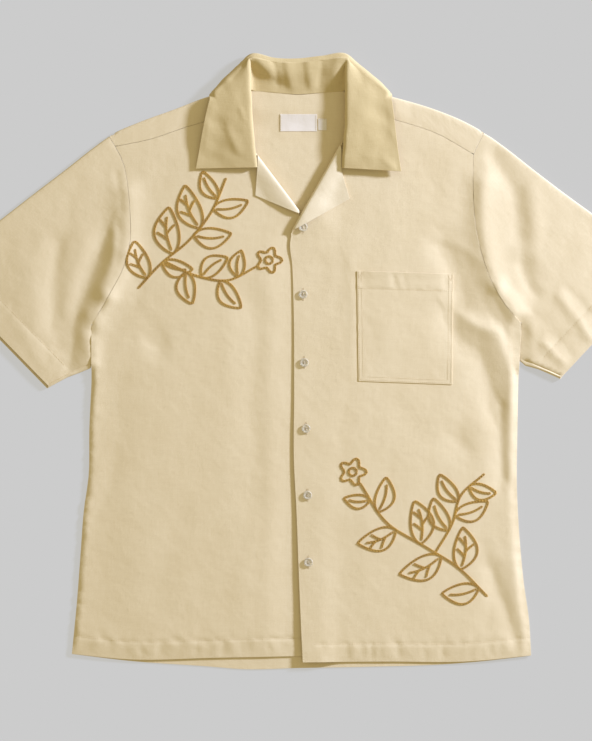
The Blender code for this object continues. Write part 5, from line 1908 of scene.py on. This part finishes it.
@dataclass
class Embroidery:
    """Two large leafy sprigs in chain stitch, one on each front."""

    fronts: dict[str, Panel]
    thread: Finish
    pitch: float = 3.7
    half: float = 1.35
    radius: float = 0.5
    lift: float = 0.75
    overlaps: Span = (0.08, 0.1)
    right_sprigs: Sequence[Sprig] = (
        Sprig(((-206, 92), (-176, 124), (-142, 152), (-112, 190), (-94, 232)), (
            Leaf(0.1, 62, 50, 14), Leaf(0.26, -54, 40, 11), Leaf(0.36, 58, 60, 16), Leaf(0.55, -46, 48, 13),
            Leaf(0.62, 58, 58, 15), Leaf(0.78, -50, 46, 12), Leaf(0.86, 52, 40, 10),
        )),
        Sprig(((-172, 126), (-132, 108), (-92, 102), (-54, 120)), (
            Leaf(0.24, -56, 42, 12), Leaf(0.42, 52, 42, 12), Leaf(0.6, -52, 44, 12), Leaf(0.8, 56, 34, 10),
        ), 17),
    )
    left_sprigs: Sequence[Sprig] = (
        Sprig(((240, -302), (204, -266), (160, -238), (112, -208), (78, -158)), (
            Leaf(0.08, 56, 48, 13), Leaf(0.22, -54, 54, 15), Leaf(0.36, 54, 58, 15), Leaf(0.5, -52, 56, 15),
            Leaf(0.66, 54, 52, 14), Leaf(0.82, -48, 46, 12), Leaf(0.9, 56, 34, 9),
        ), 18),
        Sprig(((174, -246), (196, -208), (206, -174), (236, -146)), (
            Leaf(0.28, 54, 46, 12), Leaf(0.46, -56, 46, 12), Leaf(0.62, 56, 42, 11), Leaf(0.8, -54, 36, 10),
        )),
    )

    def make(self) -> None:
        """One piece of embroidery on each front."""
        for word, sprigs in (("right", self.right_sprigs), ("left", self.left_sprigs)):
            feet, tips = [], []
            for sprig in sprigs:
                for line in sprig.lines():
                    marks = even_points(line, self.pitch)
                    step = np.diff(marks, axis=0)
                    feet.append(marks[:-1] - step * self.overlaps[0])
                    tips.append(marks[1:] + step * self.overlaps[1])
            feet, tips = np.concatenate(feet), np.concatenate(tips)
            low, normals = self.fronts[word].seat(feet, self.lift)
            high, _ = self.fronts[word].seat(tips, self.lift)
            points, faces = looped_threads(low, high, normals, self.half, self.radius)
            thing = mesh_piece(f"embroidery_{word}", points, faces, self.thread)
            dressed(thing, "shirt_cloth")


class Value:
    """A number that changes over a surface, with the operators that add Math nodes."""

    def __init__(self, bench: "Bench", socket: Socket) -> None:
        """Wrap a socket of one material's nodes.

        Args:
            bench: The material's nodes.
            socket: The output that gives the number.
        """
        self.bench = bench
        self.socket = socket

    def maths(self, operation: str, first: object, second: object = 0.0) -> "Value":
        """A Math node on two values."""
        made = self.bench.node("ShaderNodeMath", {"operation": operation}, {0: first, 1: second})
        return Value(self.bench, made.outputs[0])

    def __add__(self, other: object) -> "Value":
        """This and another added."""
        return self.maths("ADD", self, other)

    def __radd__(self, other: object) -> "Value":
        """Another and this added."""
        return self.maths("ADD", other, self)

    def __sub__(self, other: object) -> "Value":
        """This less another."""
        return self.maths("SUBTRACT", self, other)

    def __rsub__(self, other: object) -> "Value":
        """Another less this."""
        return self.maths("SUBTRACT", other, self)

    def __mul__(self, other: object) -> "Value":
        """This times another."""
        return self.maths("MULTIPLY", self, other)

    def __rmul__(self, other: object) -> "Value":
        """Another times this."""
        return self.maths("MULTIPLY", other, self)

    def __truediv__(self, other: object) -> "Value":
        """This divided by another."""
        return self.maths("DIVIDE", self, other)

    def __rtruediv__(self, other: object) -> "Value":
        """Another divided by this."""
        return self.maths("DIVIDE", other, self)

    def __pow__(self, other: object) -> "Value":
        """This to a power."""
        return self.maths("POWER", self, other)

    def wave(self) -> "Value":
        """The sine of this."""
        return self.maths("SINE", self)


class Bench:
    """The nodes of one material."""

    def __init__(self, name: str) -> None:
        """Start a material with a plain shader."""
        self.material = bpy.data.materials.new(name)
        self.material.use_nodes = True
        self.tree = self.material.node_tree
        self.shader = self.tree.nodes["Principled BSDF"]

    def feed(self, socket: Socket, value: object) -> None:
        """Link a value or an output to a socket, or set the socket to a constant."""
        if isinstance(value, Value):
            value = value.socket
        if isinstance(value, Socket):
            self.tree.links.new(value, socket)
        else:
            socket.default_value = value

    def node(self, kind: str, settings: dict | None = None, inputs: dict | None = None) -> bpy.types.Node:
        """Add a node.

        Args:
            kind: Its type.
            settings: What it is set to first. A ramp's stops are rows of position and colour.
            inputs: The value or link of each socket that is named or numbered.

        Returns:
            The node.
        """
        made = self.tree.nodes.new(kind)
        for key, setting in (settings or {}).items():
            if key == "stops":
                for i, (at, colour) in enumerate(setting):
                    stops = made.color_ramp.elements
                    stop = stops[i] if i < len(stops) else stops.new(at)
                    stop.position, stop.color = at, colour
            else:
                setattr(made, key, setting)
        for key, value in (inputs or {}).items():
            self.feed(made.inputs[key], value)
        return made

    def mix(self, share: object, first: object, second: object) -> Socket:
        """A colour between two others."""
        made = self.node("ShaderNodeMix", {"data_type": "RGBA"}, {0: share, 6: first, 7: second})
        return made.outputs[2]

    def speckle(self, place: object, scale: float, detail: float = 2.0, rough: float = 0.5) -> Value:
        """Noise of about 0 to 1."""
        made = self.node("ShaderNodeTexNoise", {"noise_dimensions": "3D"},
                         {"Vector": place, "Scale": scale, "Detail": detail, "Roughness": rough})
        return Value(self, made.outputs[0])

    def stretched(self, place: object, factors: tuple[float, float, float]) -> Socket:
        """A place with each axis multiplied."""
        made = self.node("ShaderNodeVectorMath", {"operation": "MULTIPLY"}, {0: place, 1: factors})
        return made.outputs[0]

    def clipped(self, value: Value, low: float, high: float) -> Value:
        """A value brought from low and high to 0 and 1, and held there."""
        made = self.node("ShaderNodeMapRange", {"clamp": True}, {0: value, 1: low, 2: high, 3: 0.0, 4: 1.0})
        return Value(self, made.outputs[0])

    def raised(self, height: Value, metres: float, under: object = None) -> Socket:
        """A Bump node over another normal, if there is one.

        Args:
            height: The relief.
            metres: How far a height of 1 rises.
            under: A normal that it lies on.

        Returns:
            The new normal.
        """
        inputs = {"Height": height, "Distance": metres, "Strength": 1.0}
        if under is not None:
            inputs["Normal"] = under
        return self.node("ShaderNodeBump", None, inputs).outputs[0]

    def set_shader(self, **values: object) -> None:
        """Feed the shader's sockets, named with _ for a space."""
        for key, value in values.items():
            self.feed(self.shader.inputs[key.replace("_", " ")], value)


def linear(colour: tuple[int, int, int], gain: float = 1.0) -> tuple[float, float, float, float]:
    """A shader's colour from sRGB bytes, made lighter or darker by a gain.

    Args:
        colour: Red, green and blue, up to 255.
        gain: What the linear values are multiplied by.

    Returns:
        The colour, with an alpha of 1.
    """
    rgb = [c / 255 for c in colour]
    rgb = [c / 12.92 if c <= 0.04045 else ((c + 0.055) / 1.055) ** 2.4 for c in rgb]
    return (*(min(c * gain, 1.0) for c in rgb), 1.0)


class Weave(Enum):
    """How the yarns cross."""

    PLAIN = "plain"
    TWILL = "twill"
    TAPE = "tape"


@dataclass(frozen=True)
class Cloth:
    """A woven finish in two shades, with slubs in its yarns."""

    name: str
    colour: tuple[int, int, int]
    shade: tuple[int, int, int]
    weave: Weave
    pitch: float
    slub: float
    relief: float
    roughness: float = 0.86
    sheen: float = 0.12

    def make(self) -> Finish:
        """The material, whose yarns follow the grain of each cut piece."""
        bench = Bench(self.name)
        grain = bench.node("ShaderNodeAttribute", {"attribute_type": "GEOMETRY", "attribute_name": "grain"})
        place = grain.outputs["Vector"]
        split = bench.node("ShaderNodeSeparateXYZ", None, {0: place})
        x, y = Value(bench, split.outputs[0]), Value(bench, split.outputs[1])
        turn = math.tau / self.pitch
        if self.weave is Weave.TWILL:
            yarn = ((x + y) * turn).wave() * 0.6 + ((x - y * 0.5) * (turn * 1.9)).wave() * 0.25
        elif self.weave is Weave.PLAIN:
            yarn = (x * turn).wave() * (y * turn).wave()
        else:
            yarn = (x * turn).wave() * 0.5 + (y * (turn * 2)).wave() * 0.5
        weft = bench.speckle(bench.stretched(place, (0.035, 1.1, 1.0)), 1.0, 2.0)
        warp = bench.speckle(bench.stretched(place, (1.1, 0.03, 1.0)), 1.0, 2.0)
        cloud = bench.speckle(place, 0.014, 3.0)
        fleck = bench.speckle(place, 0.55, 2.0, 0.6)
        tone = (weft + warp - 1.0) * self.slub + (cloud - 0.5) * 0.45 + (fleck - 0.5) * 0.2 + yarn * 0.05
        share = bench.clipped(tone, -0.5, 0.5)
        colour = bench.mix(share, linear(self.shade), linear(self.colour))
        weave = bench.raised(yarn * 0.5 + (weft + warp) * 0.9, self.relief)
        rumple = bench.speckle(place, 0.05, 3.0, 0.55)
        bench.set_shader(
            Base_Color=colour, Roughness=self.roughness - share * 0.06, Sheen_Weight=self.sheen,
            Sheen_Roughness=0.55, Specular_IOR_Level=0.25, Normal=bench.raised(rumple, 0.0006, weave))
        return bench.material


@dataclass(frozen=True)
class Thread:
    """Twisted thread."""

    name: str
    colour: tuple[int, int, int]
    shade: tuple[int, int, int]
    roughness: float = 0.55
    sheen: float = 0.2

    def make(self) -> Finish:
        """The material, with plies and a change of shade along it."""
        bench = Bench(self.name)
        place = bench.node("ShaderNodeTexCoord").outputs["Object"]
        ply = bench.node("ShaderNodeTexWave", {"wave_type": "BANDS", "bands_direction": "DIAGONAL"},
                         {"Vector": place, "Scale": 900.0, "Distortion": 2.0, "Detail": 1.0})
        plies = Value(bench, ply.outputs[1])
        cloud = bench.speckle(place, 70.0, 2.0)
        share = bench.clipped(plies * 0.5 + (cloud - 0.5) * 1.6, -0.4, 0.9)
        bench.set_shader(
            Base_Color=bench.mix(share, linear(self.shade), linear(self.colour)), Roughness=self.roughness,
            Sheen_Weight=self.sheen, Normal=bench.raised(plies, 0.00008))
        return bench.material


@dataclass(frozen=True)
class Pearl:
    """The pearly, half clear stuff of the buttons."""

    name: str = "clear pearl"
    colour: tuple[int, int, int] = (240, 233, 214)
    shade: tuple[int, int, int] = (206, 196, 176)

    def make(self) -> Finish:
        """The material, with faint swirls under a gloss."""
        bench = Bench(self.name)
        place = bench.node("ShaderNodeTexCoord").outputs["Object"]
        swirl = bench.node("ShaderNodeTexWave", {"wave_type": "RINGS"}, {
            "Vector": place, "Scale": 90.0, "Distortion": 6.0, "Detail": 2.0, "Detail Scale": 1.5})
        swirls = Value(bench, swirl.outputs[1])
        share = bench.clipped(swirls * 0.6 + bench.speckle(place, 300.0) * 0.5, 0.1, 0.9)
        colour = bench.mix(share, linear(self.shade), linear(self.colour))
        bench.set_shader(
            Base_Color=colour, Roughness=0.3 + share * 0.08, Coat_Weight=0.25, Coat_Roughness=0.2,
            Transmission_Weight=0.3, IOR=1.5, Alpha=0.66)
        return bench.material


@dataclass(frozen=True)
class Key:
    """The lamp at the wearer's left, and the even light all round."""

    azimuth: float = 27.0
    elevation: float = 19.5
    distance: float = 3.3
    radius: float = 0.2
    power: float = 553.7
    power_at: float = 0.43
    colour: tuple[float, float, float] = (0.45, 0.51, 0.70)
    fill: tuple[float, float, float] = (0.55, 0.49, 0.30)

    def place(self) -> tuple[float, float, float]:
        """Where the lamp hangs."""
        turn, rise = math.radians(self.azimuth), math.radians(self.elevation)
        level = self.distance * math.cos(rise)
        return level * math.cos(turn), level * math.sin(turn), self.distance * math.sin(rise)


@dataclass(frozen=True)
class Ground:
    """The plain pale floor."""

    key: Key
    name: str = "pale floor"
    tone: float = 0.604
    shaded: float = 0.22

    def make(self) -> Finish:
        """The material, matt, and toned so that the floor looks even under the lamp."""
        bench = Bench(self.name)
        place = bench.node("ShaderNodeTexCoord").outputs["Object"]
        split = bench.node("ShaderNodeSeparateXYZ", None, {0: place})
        lamp = self.key.place()
        x, y = Value(bench, split.outputs[0]) - lamp[0], Value(bench, split.outputs[1]) - lamp[1]
        lit = self.key.distance**3 / (x * x + y * y + lamp[2] ** 2) ** 1.5
        cloud = (bench.speckle(place, 1.5) * 0.006 + (self.tone - 0.003)) * self.shaded
        shades = [cloud / (lit * key + fill) for key, fill in zip(self.key.colour, self.key.fill)]
        joint = bench.node("ShaderNodeCombineColor", None, dict(enumerate(shades)))
        glow = self.tone * (1 - self.shaded)
        bench.set_shader(Base_Color=joint.outputs[0], Roughness=1.0, Specular_IOR_Level=0.0,
                         Emission_Color=(glow, glow, glow, 1.0), Emission_Strength=1.0)
        return bench.material


@dataclass
class Studio:
    """The floor, the light and the camera straight above."""

    key: Key = Key()
    floor_size: float = 6.0
    floor_level: float = -0.0002
    middle: tuple[float, float] = (-4.5, -13.4)
    frame_height: float = 948.5
    lens: float = 180.0
    sensor: float = 36.0

    def make(self) -> None:
        """Set the scene round the shirt."""
        half = self.floor_size / 2
        mesh = bpy.data.meshes.new("floor")
        corners = [(-half, -half), (half, -half), (half, half), (-half, half)]
        mesh.from_pydata([(x, y, self.floor_level) for x, y in corners], [], [(0, 1, 2, 3)])
        mesh.materials.append(Ground(self.key).make())
        linked("floor", mesh)
        self.lights()
        self.camera()

    def lights(self) -> None:
        """A soft lamp and even light all round."""
        lamp = bpy.data.lights.new("key", "POINT")
        lamp.shadow_soft_size = self.key.radius
        brightest = max(self.key.colour)
        lamp.energy = self.key.power * brightest / self.key.power_at
        lamp.color = [share / brightest for share in self.key.colour]
        linked("key", lamp).location = self.key.place()
        world = bpy.data.worlds.new("studio")
        world.use_nodes = True
        backdrop = world.node_tree.nodes["Background"].inputs
        backdrop["Color"].default_value = (*self.key.fill, 1.0)
        backdrop["Strength"].default_value = 1.0
        bpy.context.scene.world = world
        bpy.context.scene.view_settings.view_transform = "Standard"

    def camera(self) -> None:
        """The camera, whose frame is the photograph's."""
        lens = bpy.data.cameras.new("camera")
        lens.lens, lens.sensor_width, lens.sensor_fit = self.lens, self.sensor, "AUTO"
        lens.clip_start, lens.clip_end = 0.05, 30.0
        camera = linked("camera", lens)
        distance = self.frame_height * self.lens / self.sensor
        camera.matrix_world = Matrix.Translation(Vector((*self.middle, distance)) * MM)
        bpy.context.scene.camera = camera


@dataclass
class Shirt:
    """The whole shirt, piece by piece."""

    cream: Cloth = Cloth("cream twill", (234, 218, 187), (215, 195, 156), Weave.TWILL, 0.62, 0.32, 0.00004)
    facing: Cloth = Cloth(
        "cream facing", (237, 223, 196), (221, 204, 170), Weave.TWILL, 0.62, 0.32, 0.00004)
    straw: Cloth = Cloth(
        "straw slub", (216, 197, 152), (195, 172, 124), Weave.PLAIN, 0.7, 0.4, 0.00005, 0.9, 0.1)
    tape: Cloth = Cloth(
        "woven tape", (238, 230, 222), (226, 216, 206), Weave.TAPE, 0.3, 0.2, 0.00003, 0.6, 0.1)
    gold: Thread = Thread("gold thread", (204, 160, 58), (160, 116, 30))
    cream_thread: Thread = Thread("cream thread", (228, 210, 174), (204, 184, 144))
    pearl: Pearl = Pearl()
    on_hem: float = 0.5
    on_pocket: float = 0.44
    on_tack: float = 0.6
    tack: Points = ((2.0, -1.2), (2.6, -9.0), (7.0, -1.4))
    in_tape: float = 1.2

    def make(self) -> None:
        """Build every piece and its sewing."""
        pile = Pile()
        cream, thread = self.cream.make(), self.cream_thread.make()
        tape, pearl = self.tape.make(), self.pearl.make()
        body = Body(pile, cream, self.facing.make(), tape)
        body.make()
        sleeves = Sleeves(pile, cream)
        sleeves.make()
        Collar(self.straw.make()).make()
        Buttons(body.panels["left"], pearl, thread).make()
        Embroidery(body.panels, self.gold.make()).make()
        self.stitch(body, sleeves, thread)

    def stitch(self, body: Body, sleeves: Sleeves, thread: Finish) -> None:
        """Sew the hems, the pocket and the labels.

        Args:
            body: The fronts, the back and the pocket.
            sleeves: The sleeves.
            thread: The thread's material.
        """
        hems = Sewing("hem_stitches", thread)
        for side in Side:
            hems.run(body.panels[side.word].seat, body.hem_lines[side], self.on_hem)
            hems.run(sleeves.seats[side], sleeves.hem_lines[side][1:-1], self.on_hem)
        dressed(hems.make(), "shirt_cloth")
        patches = Sewing("pocket_stitches", thread, pitch=2.6, radius=0.2)
        seat = body.panels["pocket"].seat
        for line in (*(body.pocket_line(inset) for inset in body.pocket_insets), body.band_line()):
            patches.run(seat, line, self.on_pocket)
        for corner, side in ((0, 1.0), (3, -1.0)):
            tack = [body.pocket_corners[corner] + np.array([side * x, y]) for x, y in self.tack]
            patches.run(seat, np.array(tack), self.on_tack)
        on_tape = body.ply + 0.05
        (x0, y1), (_, y0), (x1, _), _ = body.label_corners
        for x in (x0 + self.in_tape, x1 - self.in_tape):
            patches.run(body.panels["back"].seat, np.array([(x, y0 + 1.0), (x, y1 - 1.0)]), on_tape)
        (x0, y1), _, (x1, _), _ = body.tab_corners
        patches.run(body.panels["back"].seat, np.array([(x0 + 1, y1 - 1.0), (x1 - 1, y1 - 1.0)]), on_tape)
        dressed(patches.make(), "shirt_cloth")


def main() -> None:
    """Dress the shirt and set it in its studio."""
    logging.basicConfig(level=logging.INFO, format="%(message)s")
    Shirt().make()
    Studio().make()


if __name__ == "__main__":
    main()
